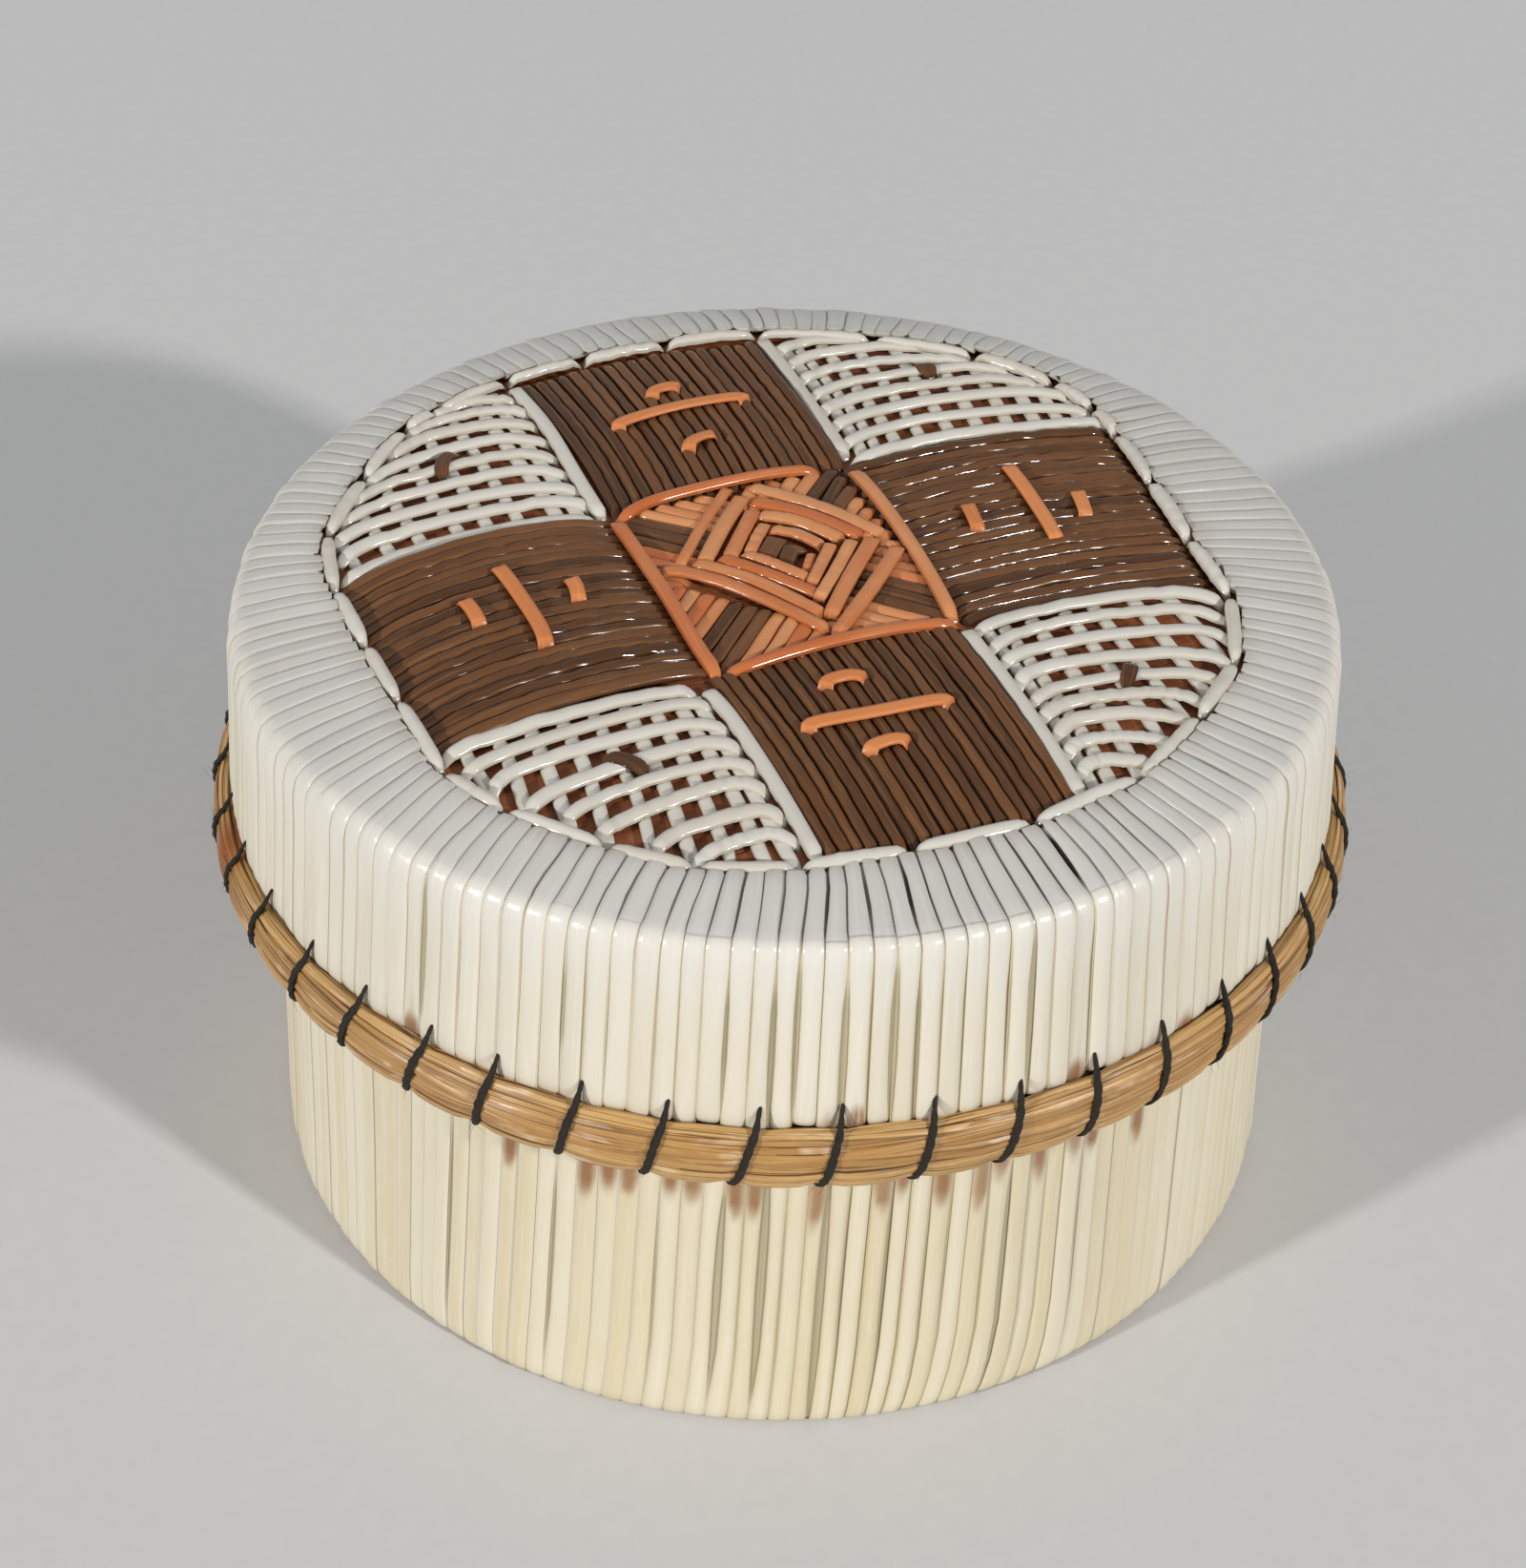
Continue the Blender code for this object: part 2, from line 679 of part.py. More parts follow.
def lattices(white, brown, parent):
    """The lattices between the arms, each with one dark stitch over it."""
    lift = 2 * GAP + LATTICE_THICKNESS
    corner = ARM_WIDTH / 2
    run = design_radius(QUARTER / 2) / sqrt(2) - corner
    lean = DASH_LENGTH / 2 / sqrt(2)
    for side_y, end in ((1, "back"), (-1, "front")):
        for side_x, side in ((1, "right"), (-1, "left")):
            lattice(f"lattice_{end}_{side}", side_x, side_y, white, parent)
            x = side_x * (corner + run * LATTICE_STITCH_X_SHARE)
            y = side_y * (corner + run * LATTICE_STITCH_Y_SHARE)
            straight_quill(f"lattice_stitch_{end}_{side}", (x - lean, y - side_y * lean),
                           (x + lean, y + side_y * lean), BAR_WIDTH, BAR_THICKNESS, lift,
                           brown, parent, tapered=True)


def base(bark, lining, white):
    """The base: bark wall and bottom, both lined, and its quills."""
    wall_foot = QUILL_THICKNESS + BASE_INNER_CUT + GAP
    disc_low = QUILL_THICKNESS + GAP
    disc_high = disc_low + BARK_DISC
    lining_low = disc_high + GAP
    lining_high = lining_low + LINING
    lining_foot = lining_high + GAP

    def leaning(radius, top, foot):
        return [(radius, top), (radius, BASE_QUILL_TOP), (radius + flare(foot), foot)]

    bottom_radius = BASE_LINING_RADIUS + flare(lining_foot)
    band("base_wall", leaning(BASE_BARK_RADIUS, BASE_HEIGHT, wall_foot), BARK_WALL, bark, None)
    flat_disc("base_bottom_disc", bottom_radius, disc_low, disc_high, bark, None)
    flat_disc("base_bottom_lining", bottom_radius, lining_low, lining_high, lining, None)
    band("base_lining", leaning(BASE_LINING_RADIUS, BASE_HEIGHT - LINING_STEP, lining_foot),
         LINING, lining, None)
    base_quills(white)


def lid(bark, lining, white, brown, orange, grass, black):
    """The lid, all of it on the axis along which it lifts off."""
    axis = bpy.data.objects.new("lid_axis", None)
    bpy.context.collection.objects.link(axis)
    top_disc(bark, axis)
    top_lining(lining, axis)
    wall_top = bark_top(BARK_RADIUS) - max(BARK_DISC + GAP, LID_INNER_CUT - GAP)
    lining_end = lining_top(LID_LINING_RADIUS) - LINING - GAP
    band("lid_wall", [(BARK_RADIUS, wall_top), (BARK_RADIUS, LID_EDGE_HEIGHT)], BARK_WALL,
         bark, axis)
    band("lid_lining", [(LID_LINING_RADIUS, lining_end),
                        (LID_LINING_RADIUS, LID_EDGE_HEIGHT + LINING_STEP)], LINING, lining, axis)
    rim_quills(white, axis)
    sweetgrass(grass, axis)
    whipping_thread(black, axis)
    ring_of_quills(white, axis)
    cross(brown, orange, white, axis)
    centre_square(orange, brown, axis)
    lattices(white, brown, axis)


for item in list(bpy.data.objects):
    bpy.data.objects.remove(item)

bark_finish = material("bark", (0.19, 0.055, 0.018), 0.7)
lining_finish = material("lining", (0.42, 0.24, 0.12), 0.75)
white_finish = material("white_quill", (0.68, 0.62, 0.50), 0.35)
brown_finish = material("brown_quill", (0.10, 0.045, 0.025), 0.3)
orange_finish = material("orange_quill", (0.62, 0.22, 0.07), 0.3)
grass_finish = material("sweetgrass", (0.42, 0.22, 0.08), 0.55)
thread_finish = material("thread", (0.018, 0.015, 0.013), 0.85)

base(bark_finish, lining_finish, white_finish)
lid(bark_finish, lining_finish, white_finish, brown_finish, orange_finish, grass_finish,
    thread_finish)
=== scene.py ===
"""Looks of a round birch-bark box covered in quills, with a lift-off lid edged in sweetgrass.

The sections follow the box as it is put together: bark, base quills, lid quills, the design on
the lid, the sweetgrass edge and its thread, then the floor, the lights and the camera. Sizes are
in millimetres, and a mesh is turned to metres when it is made.
"""

import bpy
import numpy as np
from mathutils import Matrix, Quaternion, Vector


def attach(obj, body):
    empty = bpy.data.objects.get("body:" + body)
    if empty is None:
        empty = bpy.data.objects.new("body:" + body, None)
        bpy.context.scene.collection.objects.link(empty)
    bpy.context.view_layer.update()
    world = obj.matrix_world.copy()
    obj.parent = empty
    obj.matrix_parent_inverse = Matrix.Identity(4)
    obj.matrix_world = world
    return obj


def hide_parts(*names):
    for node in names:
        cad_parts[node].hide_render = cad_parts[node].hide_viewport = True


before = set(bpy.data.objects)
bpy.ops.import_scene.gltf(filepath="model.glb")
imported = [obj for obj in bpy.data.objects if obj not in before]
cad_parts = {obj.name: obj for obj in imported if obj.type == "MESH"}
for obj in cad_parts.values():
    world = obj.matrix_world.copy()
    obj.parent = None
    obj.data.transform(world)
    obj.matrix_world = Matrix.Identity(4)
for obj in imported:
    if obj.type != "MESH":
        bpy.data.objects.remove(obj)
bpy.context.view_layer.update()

# Birch bark: the walls, the discs and the thin linings of the box.
# The bark is peeled in sheets, bent round with the grain running round the box, and its inner
# side is smooth and honey brown with short dark pores that run with the grain.
MM = 0.001
WALL_RADIUS = 50.0
draw = np.random.default_rng(41)


def colour(red, green, blue):
    """A colour given as it looks on a screen, 0 to 255, as the shader needs it."""
    share = np.array([red, green, blue]) / 255
    light = np.where(share <= 0.04045, share / 12.92, ((share + 0.055) / 1.055) ** 2.4)
    return (*light.tolist(), 1)


def plug(tree, node, inputs):
    """Give each socket of a node its value, or another node's output."""
    for key, value in inputs.items() if isinstance(inputs, dict) else enumerate(inputs):
        if isinstance(value, bpy.types.NodeSocket):
            tree.links.new(value, node.inputs[key])
        else:
            node.inputs[key].default_value = value
    return node


def add(tree, kind, inputs=(), **settings):
    """Add a shader node with its settings and what its sockets take."""
    made = tree.nodes.new(kind)
    for key, value in settings.items():
        setattr(made, key, value)
    return plug(tree, made, inputs)


def maths(tree, operation, *values):
    """The result of a sum on shader values."""
    return add(tree, "ShaderNodeMath", values, operation=operation).outputs[0]


def times(tree, first, second):
    """The product of two shader values."""
    return maths(tree, "MULTIPLY", first, second)


def ramp(tree, value, low, high, start=0.0, end=1.0):
    """A value turned from low and high to start and end, smoothly and held at both ends."""
    made = add(tree, "ShaderNodeMapRange", (value, low, high, start, end),
               interpolation_type="SMOOTHSTEP")
    return made.outputs["Result"]


def blend(tree, share, first, second):
    """Two colours mixed by a share."""
    return add(tree, "ShaderNodeMix", {0: share, 6: first, 7: second}, data_type="RGBA").outputs[2]


def stretched(tree, vector, factors):
    """A vector with each of its parts multiplied."""
    return add(tree, "ShaderNodeVectorMath", (vector, factors), operation="MULTIPLY").outputs[0]


def noise(tree, vector, factors, detail=2.0, roughness=0.5):
    """Soft noise, from 0 to 1, on a vector multiplied by factors: the more, the finer."""
    made = add(tree, "ShaderNodeTexNoise", {"Vector": stretched(tree, vector, factors), "Scale": 1.0,
                                            "Detail": detail, "Roughness": roughness})
    return made.outputs["Fac"]


def parts_of(tree, vector):
    """The three values in a vector."""
    return add(tree, "ShaderNodeSeparateXYZ", (vector,)).outputs


def carried(tree, name, kind="Fac"):
    """A value, or a vector, that the mesh carries for each of its points."""
    return add(tree, "ShaderNodeAttribute", attribute_name=name).outputs[kind]


def chance(tree, number, factor):
    """Another random number, 0 to 1, for each quill or blade, from its own."""
    return maths(tree, "FRACT", times(tree, number, factor))


def effect(name, make, colours, values=()):
    """A shader node group that takes a place, named colours and named values.

    make turns them into the group's colour, roughness and height.
    """
    tree = bpy.data.node_groups.new(name, "ShaderNodeTree")
    takes = {"Place": "Vector", **dict.fromkeys(colours, "Color"), **dict.fromkeys(values, "Float")}
    gives = {"Colour": "Color", "Roughness": "Float", "Height": "Float"}
    for side, sockets in (("INPUT", takes), ("OUTPUT", gives)):
        for socket, kind in sockets.items():
            tree.interface.new_socket(name=socket, in_out=side, socket_type="NodeSocket" + kind)
    add(tree, "NodeGroupOutput", make(tree, add(tree, "NodeGroupInput").outputs))
    return tree


def bark_skin(tree, taken):
    """Bark on a place whose X runs with the grain: cloudy colour, fine grain and short pores."""
    place = taken["Place"]
    cloud = noise(tree, place, (0.06, 0.14, 0.14), 3.0)
    grain = noise(tree, place, (0.35, 3.2, 3.2), 4.0, 0.6)
    spots = noise(tree, place, (0.24, 1.5, 1.5), 1.0)
    pore = times(tree, ramp(tree, spots, 0.66, 0.72), taken["Pores"])
    body = blend(tree, ramp(tree, cloud, 0.3, 0.7), taken["Body"], taken["Shade"])
    body = blend(tree, ramp(tree, grain, 0.35, 0.8, 0.0, 0.5), body, taken["Shade"])
    depth = maths(tree, "SUBTRACT", times(tree, grain, 0.5), pore)
    return blend(tree, pore, body, taken["Pore"]), ramp(tree, grain, 0.2, 0.8, 0.55, 0.75), depth


def skinned(name, skin, place, values, bump, shine=None):
    """A material whose colour, roughness and relief come from a skin.

    place makes the skin's vector, values are what else it takes, bump is the height of its
    relief in millimetres, and shine holds other values of the shader.
    """
    made = bpy.data.materials.new(name)
    made.use_nodes = True
    tree = made.node_tree
    values = {key: value(tree) if callable(value) else value for key, value in values.items()}
    given = add(tree, "ShaderNodeGroup", {"Place": place(tree), **values}, node_tree=skin).outputs
    relief = add(tree, "ShaderNodeBump",
                 {"Strength": 1.0, "Distance": bump * MM, "Height": given["Height"]}).outputs["Normal"]
    plug(tree, tree.nodes["Principled BSDF"], {"Base Color": given["Colour"], "Roughness": given["Roughness"],
                                               "Normal": relief, **(shine or {})})
    return made


def sheet_place(tree):
    """The object's own coordinates in millimetres, with the grain along X."""
    return stretched(tree, add(tree, "ShaderNodeTexCoord").outputs["Object"], (1000, 1000, 1000))


def wall_place(tree):
    """Millimetres round the wall, then up it: the grain of bent bark runs round the box."""
    split = parts_of(tree, sheet_place(tree))
    angle = maths(tree, "ARCTAN2", split[1], split[0])
    reach = stretched(tree, sheet_place(tree), (1, 1, 0))
    radius = add(tree, "ShaderNodeVectorMath", (reach,), operation="LENGTH").outputs["Value"]
    return add(tree, "ShaderNodeCombineXYZ",
               (times(tree, angle, WALL_RADIUS), split[2], radius)).outputs[0]


bark = effect("bark skin", bark_skin, ("Body", "Shade", "Pore"), ("Pores",))
outer_bark = {"Body": colour(162, 94, 52), "Shade": colour(126, 68, 36), "Pore": colour(70, 36, 20),
              "Pores": 0.5}
inner_bark = {"Body": colour(176, 122, 76), "Shade": colour(150, 94, 54), "Pore": colour(92, 54, 32),
              "Pores": 0.8}
bark_wall = skinned("bark_wall", bark, wall_place, outer_bark, 0.25)
bark_disc = skinned("bark_disc", bark, sheet_place, outer_bark, 0.25)
lining_wall = skinned("lining_wall", bark, wall_place, inner_bark, 0.15)
lining_disc = skinned("lining_disc", bark, sheet_place, inner_bark, 0.15)
for finish, nodes in ((bark_wall, ("base_wall", "lid_wall")),
                      (bark_disc, ("base_bottom_disc", "lid_top_disc")),
                      (lining_wall, ("base_lining", "lid_lining")),
                      (lining_disc, ("base_bottom_lining", "lid_top_lining"))):
    for node in nodes:
        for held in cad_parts[node].material_slots:
            held.material = finish

# Quills of the base: natural porcupine quills, flattened and laid side by side down the wall.
# Their upper ends are hidden by the lid, a few still have their brown tips, and their lower ends
# bend under the edge of the base and are tucked in.
QUILLS = 164
QUILL_THICKNESS = 0.9
BASE_PROFILE = ((51.0, 43.2), (51.08, 38), (51.15, 33), (51.19, 31), (51.22, 29.5), (51.25, 28),
                (51.29, 26.5), (51.33, 24.5), (51.5, 18), (51.75, 10), (51.95, 5), (52.05, 2.0),
                (52.0, 0.9), (51.6, 0.25), (50.6, 0.0), (49.0, 0.0), (47.2, 0.1))
TIPPED_BASE_QUILLS = (99, 103, 104, 105, 107, 108, 110, 111, 114, 117, 118, 120, 122, 123, 125,
                      127, 128, 131, 140, 146, 4, 13, 22, 38, 39, 52, 66, 79)
OPEN_BASE_GAPS = ((-150, 0.5), (-135, 0.5), (-126, 0.35), (-119.5, 0.85), (-115, 0.95), (-108, 0.9),
                  (-101, 0.45), (-95, 0.3), (-88, 0.6), (-80, 0.35))


def section(edge, shoulder, flank, crown=1.0):
    """Points across a quill: how far out of its half width, and how high of its thickness."""
    half = ((1.0, edge), shoulder, flank)
    return (*((-out, up) for out, up in half), (0.0, crown), *half[::-1])


EDGE_HEIGHT = 0.7
ROUND_SECTION = section(EDGE_HEIGHT, (0.88, 0.84), (0.5, 0.955))
FLAT_SECTION = section(0.62, (0.88, 0.88), (0.5, 0.98))
PLATE_SECTION = section(0.72, (0.92, 0.9), (0.5, 0.98))


def quill_skin(tree, taken):
    """A flattened quill on (across, millimetres along, number of the quill).

    The two tones are mixed by the number, and fine streaks run along it. Its edges and feet take
    the edge colour, painted shade between the quills, and the flank value is how far that painted
    shade reaches over its flanks.
    """
    place = taken["Place"]
    across, _, number = parts_of(tree, place)
    off = maths(tree, "ABSOLUTE", across)
    fine = noise(tree, place, (2.2, 0.09, 57.0), 4.0, 0.62)
    broad = noise(tree, place, (0.5, 0.13, 31.0))
    tone = ramp(tree, maths(tree, "ADD", chance(tree, number, 7.31), broad), 0.3, 1.7)
    body = blend(tree, tone, taken["Body"], taken["Other"])
    streak = times(tree, ramp(tree, fine, 0.48, 0.72), taken["Streaks"])
    body = blend(tree, streak, body, taken["Streak"])
    # painted shade over the flanks, so that the quill looks round
    shade = times(tree, ramp(tree, off, 0.25, 1.0), taken["FlankShade"])
    body = blend(tree, shade, body, taken["EdgeShade"])
    # painted shade at the edges and on the feet between quills
    return (blend(tree, ramp(tree, off, 0.85, 1.15), body, taken["EdgeShade"]),
            maths(tree, "ADD", taken["Gloss"], ramp(tree, fine, 0.3, 0.75, -0.06, 0.1)),
            maths(tree, "ADD", fine, times(tree, broad, 1.5)))


def quill_place(tree):
    """The place on a quill that its mesh carries."""
    return carried(tree, "quill_place", "Vector")


def placed(across, travelled, number):
    """Where points are on their quill: across it, millimetres along it, and the quill's number."""
    return np.stack(np.broadcast_arrays(across, travelled, number), axis=-1)


def shown(name, held):
    """An object in the scene that holds a mesh, a lamp or the camera."""
    made = bpy.data.objects.new(name, held)
    bpy.context.scene.collection.objects.link(made)
    return made


def mesh_piece(name, points, sharp, finish, body, stands_for, facts=None, closed=False):
    """Tubes from points of shape (pieces, stations, points round, 3), as one mesh in metres.

    Each ring of points is joined to the next, and the last to the first where closed says so;
    otherwise both ends are capped. An edge that turns by more than sharp degrees stays sharp.
    facts are values or vectors for each point, by name.
    """
    pieces, stations, sides = points.shape[:3]
    index = np.arange(pieces * stations * sides).reshape(pieces, stations, sides)
    spans = index if closed else index[:, :-1]
    ahead = np.roll(index, -1, axis=1) if closed else index[:, 1:]
    quads = np.stack([spans, np.roll(spans, -1, axis=2), np.roll(ahead, -1, axis=2), ahead], axis=-1)
    faces = quads.reshape(-1, 4)
    first = points.reshape(-1, 3)
    corners = first[faces]
    volume = np.einsum("ij,ij->", corners[:, 0], np.cross(corners[:, 1], corners[:, 2]))
    volume += np.einsum("ij,ij->", corners[:, 0], np.cross(corners[:, 2], corners[:, 3]))
    caps = [] if closed else [*index[:, 0, ::-1].tolist(), *index[:, -1].tolist()]
    faces = faces.tolist()
    if volume < 0:
        faces = [face[::-1] for face in faces]
        caps = [cap[::-1] for cap in caps]
    mesh = bpy.data.meshes.new(name)
    mesh.from_pydata(first * MM, [], faces + caps)
    for key, values in (facts or {}).items():
        kind, field = ("FLOAT_VECTOR", "vector") if values.ndim == 4 else ("FLOAT", "value")
        held = mesh.attributes.new(key, kind, "POINT")
        held.data.foreach_set(field, np.ascontiguousarray(values, np.float32).ravel())
    mesh.shade_smooth()
    mesh.set_sharp_from_angle(angle=np.radians(sharp))
    mesh.materials.append(finish)
    piece = shown(name, mesh)
    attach(piece, body)
    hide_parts(*stands_for)


def along(path):
    """Millimetres travelled at each station of paths of shape (pieces, stations, dimensions)."""
    steps = np.linalg.norm(np.diff(path, axis=1), axis=2)
    return np.concatenate([np.zeros((len(path), 1)), np.cumsum(steps, axis=1)], axis=1)


def fill_quills(profile, start, aside, gap, lift, flat, thickness, sunk, deep, fall, ends=0.0, tilt=0.0):
    """Quills side by side round the box, each a tube down a profile of (radius, height).

    A station stands at its radius and height, moved aside round the box and lifted along the
    profile's normal. A quill fills the room between its neighbours but for the gap after it and
    the gap before it, and a thin foot reaches from under its edge to the middle of each gap:
    sunk below the edges where the quills touch, and at its deepest where they stand apart. flat
    mixes the round section with the flat one, deep is how low the deepest feet lie, fall is how
    much of the section's depth a quill has, ends is added to the height, and tilt is how far one
    edge of a quill stands higher than the other.
    """
    radius = np.broadcast_to(profile[:, 0], aside.shape) + start
    height = profile[:, 1] + ends + 0 * aside
    slope = np.gradient(profile, axis=0)
    slope /= np.linalg.norm(slope, axis=1, keepdims=True)
    normal = np.stack([-slope[:, 1], slope[:, 0]], axis=1)
    pitch = 2 * np.pi * profile[:, 0] / QUILLS
    before, after = np.roll(gap, 1, axis=0), gap
    left = (np.roll(aside, 1, axis=0) - pitch - aside) / 2
    right = (np.roll(aside, -1, axis=0) + pitch - aside) / 2
    centre = (right - after / 2 + left + before / 2) / 2
    half = (right - after / 2 - left - before / 2) / 2
    shape = flat[:, None, None] * np.array(PLATE_SECTION) + (1 - flat[:, None, None]) * ROUND_SECTION
    low_left, low_right = (np.maximum(EDGE_HEIGHT - sunk - 0.6 * (room - 0.1).clip(0), deep)[..., None]
                           for room in (before, after))
    left, right = left[..., None], right[..., None]
    body = centre[..., None] + half[..., None] * shape[..., 0]
    across = np.concatenate([left, body[..., :1], body, body[..., -1:], right, right, left], axis=2)
    tall = np.broadcast_to(shape[..., 1], (*aside.shape, shape.shape[1]))
    rise = np.concatenate([low_left, low_left, tall, low_right, low_right,
                           np.full((*aside.shape, 2), -0.05)], axis=2)
    rise[..., :-2] = 1 + (rise[..., :-2] - 1) * fall[:, None, None]
    out = thickness[..., None] * (rise - 1) + lift[..., None]
    out[..., 2:-4] += np.reshape(tilt, (-1, 1, 1)) * (body - centre[..., None])
    reach = radius[..., None] + out * normal[:, None, 0]
    up = height[..., None] + out * normal[:, None, 1]
    turn = (np.arange(QUILLS)[:, None, None] + 0.5) * 2 * np.pi / QUILLS
    turn = turn + (aside[..., None] + across) / profile[:, None, 0]
    points = np.stack([reach * np.cos(turn), reach * np.sin(turn), up], axis=-1)
    # On a foot the place across goes past the quill's edge, and further by a wide gap, for its painted shade
    beyond = 1.3 * np.ones((len(flat), 2))
    spread = np.concatenate([-beyond, shape[..., 0], beyond, beyond * (1, -1)], axis=1)
    spread = np.broadcast_to(spread, across.shape).copy()
    spread[..., :2] -= 4 * np.clip(before - 0.2, 0, 0.5)[..., None]
    spread[..., -4:-2] += 4 * np.clip(after - 0.2, 0, 0.5)[..., None]
    return points, spread


def side_gaps(height, low, high, known, others):
    """Gaps between quills at each height: thin lines, and a few that open between low and high.

    known gives bearings in degrees and widths, and others is how many more are drawn.
    """
    wide = np.zeros(QUILLS)
    for bearing, width in known:
        wide[round(bearing / 360 * QUILLS) % QUILLS - 1] = width
    unseen = np.arange(QUILLS) <= QUILLS * 0.55
    opened = draw.choice(np.nonzero(unseen)[0], others, replace=False)
    wide[opened] = draw.uniform(0.3, 0.7, others) * (opened < QUILLS * 0.4)
    wide += (wide == 0) * draw.uniform(-0.05, 0.32, QUILLS).clip(0) * (0.3 + 0.7 * facing)
    reach = draw.uniform(-3, 3, (QUILLS, 2))
    part = (height - low - reach[:, :1]) / (high - low + reach[:, 1:] - reach[:, :1])
    opening = np.sin(np.pi * np.clip(part, 0, 1)) ** 0.6
    return 0.02 + 0.03 * facing[:, None] + draw.uniform(0, 0.05, (QUILLS, 1)) + wide[:, None] * opening


def wave(pieces, turn):
    """A wave along each piece that starts anywhere in its swing."""
    return np.sin(turn + draw.uniform(0, 2 * np.pi, (pieces, 1)))


def waves(pieces, share, size):
    """Slow random waves along each piece, of about the given size."""
    total = np.zeros((pieces, len(share)))
    for turns in (1, 2, 3):
        swing = wave(pieces, turns * np.pi * share)
        total += draw.normal(0, size / turns, (pieces, 1)) * swing
    return total


def each(size):
    """A random amount for each quill, above or below zero by about the given size."""
    return draw.normal(0, size, (QUILLS, 1))


def peak(value, centre, width):
    """1 at the centre, falling smoothly to nothing on both sides of it."""
    return np.exp(-((value - centre) / width) ** 2)


quill = effect("quill skin", quill_skin, ("Body", "Other", "EdgeShade", "Streak"),
               ("Streaks", "Gloss", "FlankShade"))
brown_tip = colour(140, 92, 44)
middle = (np.arange(QUILLS) + 0.5) * 2 * np.pi / QUILLS
# How worn the quills are, how far they stand apart, and how dark the painted shade in their
# seams, slits and crease is: most at the bearing of the front
FRONT, FRONT_REACH = 256, 32
facing = peak(np.degrees(middle), FRONT, FRONT_REACH)


def gap_shade(tree):
    """Painted shade where quills touch, darker at the front, and painted olive shade in wider gaps."""
    across = parts_of(tree, quill_place(tree))[0]
    apart = ramp(tree, maths(tree, "ABSOLUTE", across), 1.4, 2.6)
    touching = blend(tree, carried(tree, "facing"), colour(221, 214, 196), colour(204, 191, 158))
    return blend(tree, apart, touching, colour(176, 165, 134))


def tipped(body):
    """White quill colours whose brown tip, where the mesh marks one, fades along the quill."""
    def made(tree):
        cloud = times(tree, noise(tree, quill_place(tree), (0.6, 0.2, 40.0), 1.0), 0.25)
        share = ramp(tree, maths(tree, "ADD", carried(tree, "tip"), cloud), 0.15, 1.1, 0.0, 0.92)
        return blend(tree, share, body, brown_tip)
    return made


def brown_ends(tipped, spread, travelled, low, high):
    """How brown each point is: tipped quills are, for a reach along them that ends round and askew."""
    tip = np.zeros(spread.shape)
    for which in tipped:
        reach = draw.uniform(low, high)
        across = spread[which].clip(-1, 1)
        left = reach - travelled[:, None] - 1.3 * across ** 2 + draw.uniform(-0.8, 0.8) * across
        tip[which] = draw.uniform(0.7, 1.0) * np.clip(left / draw.uniform(1.6, 3.2), 0, 1)
    return tip


base_white = skinned("base_quills", quill, quill_place,
                     {"Body": tipped(colour(222, 213, 189)), "Other": tipped(colour(213, 199, 164)),
                      "EdgeShade": gap_shade, "Streak": tipped(colour(230, 224, 206)), "Streaks": 0.35,
                      "Gloss": 0.42, "FlankShade": 0.5}, 0.03)
profile = np.array(BASE_PROFILE)
share = np.linspace(0, 1, len(profile))
down = along(profile[None])[0]
aside = each(0.09) + waves(QUILLS, share, 0.06)
# How far they swing aside down the wall, and again at the foot, most of all in the front
WALL_RUN = 38
FOOT_START, FOOT_RUN = 33, 8
FOOT_FRONT, FOOT_REACH = 272, 16
swing = 1.2 + 0.7 * np.sin(3 * middle + 2.2) + 0.5 * np.sin(7 * middle + 0.5)
foot = 1.1 * peak(np.degrees(middle), FOOT_FRONT, FOOT_REACH) + 0.5 * np.sin(5 * middle).clip(0)
aside -= (swing[:, None] * np.clip(down / WALL_RUN, 0, 1)
          + foot[:, None] * np.clip((down - FOOT_START) / FOOT_RUN, 0, 1.2) ** 2)
gap = side_gaps(profile[:, 1], 1.0, 33.0, OPEN_BASE_GAPS, 12)
gap[:, -3:] += 0.12
lift = each(0.06) + 0 * aside
lift[:, -4:] = 0
thickness = QUILL_THICKNESS * np.ones_like(aside)
flat = np.zeros(len(profile))
flat[-4:] = 0.6
fall = 0.35 + 0.45 * facing
points, spread = fill_quills(profile, 0, aside, gap, lift, flat, thickness, 0.01, 0.5, fall)
points[..., 2] = np.maximum(points[..., 2], 0.0)
place = placed(spread, down[:, None], draw.uniform(0, 1, (QUILLS, 1, 1)))
tip = brown_ends(TIPPED_BASE_QUILLS, spread, down, 14.2, 18.6)
mesh_piece("base_quills", points, 50, base_white, "base", ["base_side_quills"],
           {"quill_place": place, "tip": tip, "facing": facing[:, None, None] + 0 * spread})

# Quills over the rim of the lid: they start beside the scalloped ring, lie flat on the top,
# are creased at the rim and run down the side of the lid to the sweetgrass.
RIM_PROFILE = ((44.6, 64.36), (45.3, 64.38), (47.2, 64.16), (49.6, 63.78), (51.9, 63.4),
               (52.9, 63.2), (53.25, 63.04), (53.7, 62.66), (53.98, 62.1), (54.1, 61.3),
               (54.2, 60.1), (54.4, 56.0), (54.75, 50.5), (55.05, 46.0), (55.15, 44.4),
               (55.15, 43.5), (55.02, 42.85), (54.4, 42.3))
CREASE = 5  # station of the crease
TOP_RUN = 7.5  # from the crease to the inner end
WEDGE_RUN = 8.5
CREASE_RUN = 0.8
SIDE_RUN = 20
SOFT_FOLD = ((-0.3, -0.02), (-0.4, -0.08), (-0.3, -0.16), (-0.3, -0.16), (-0.23, -0.1), (-0.13, 0.0))
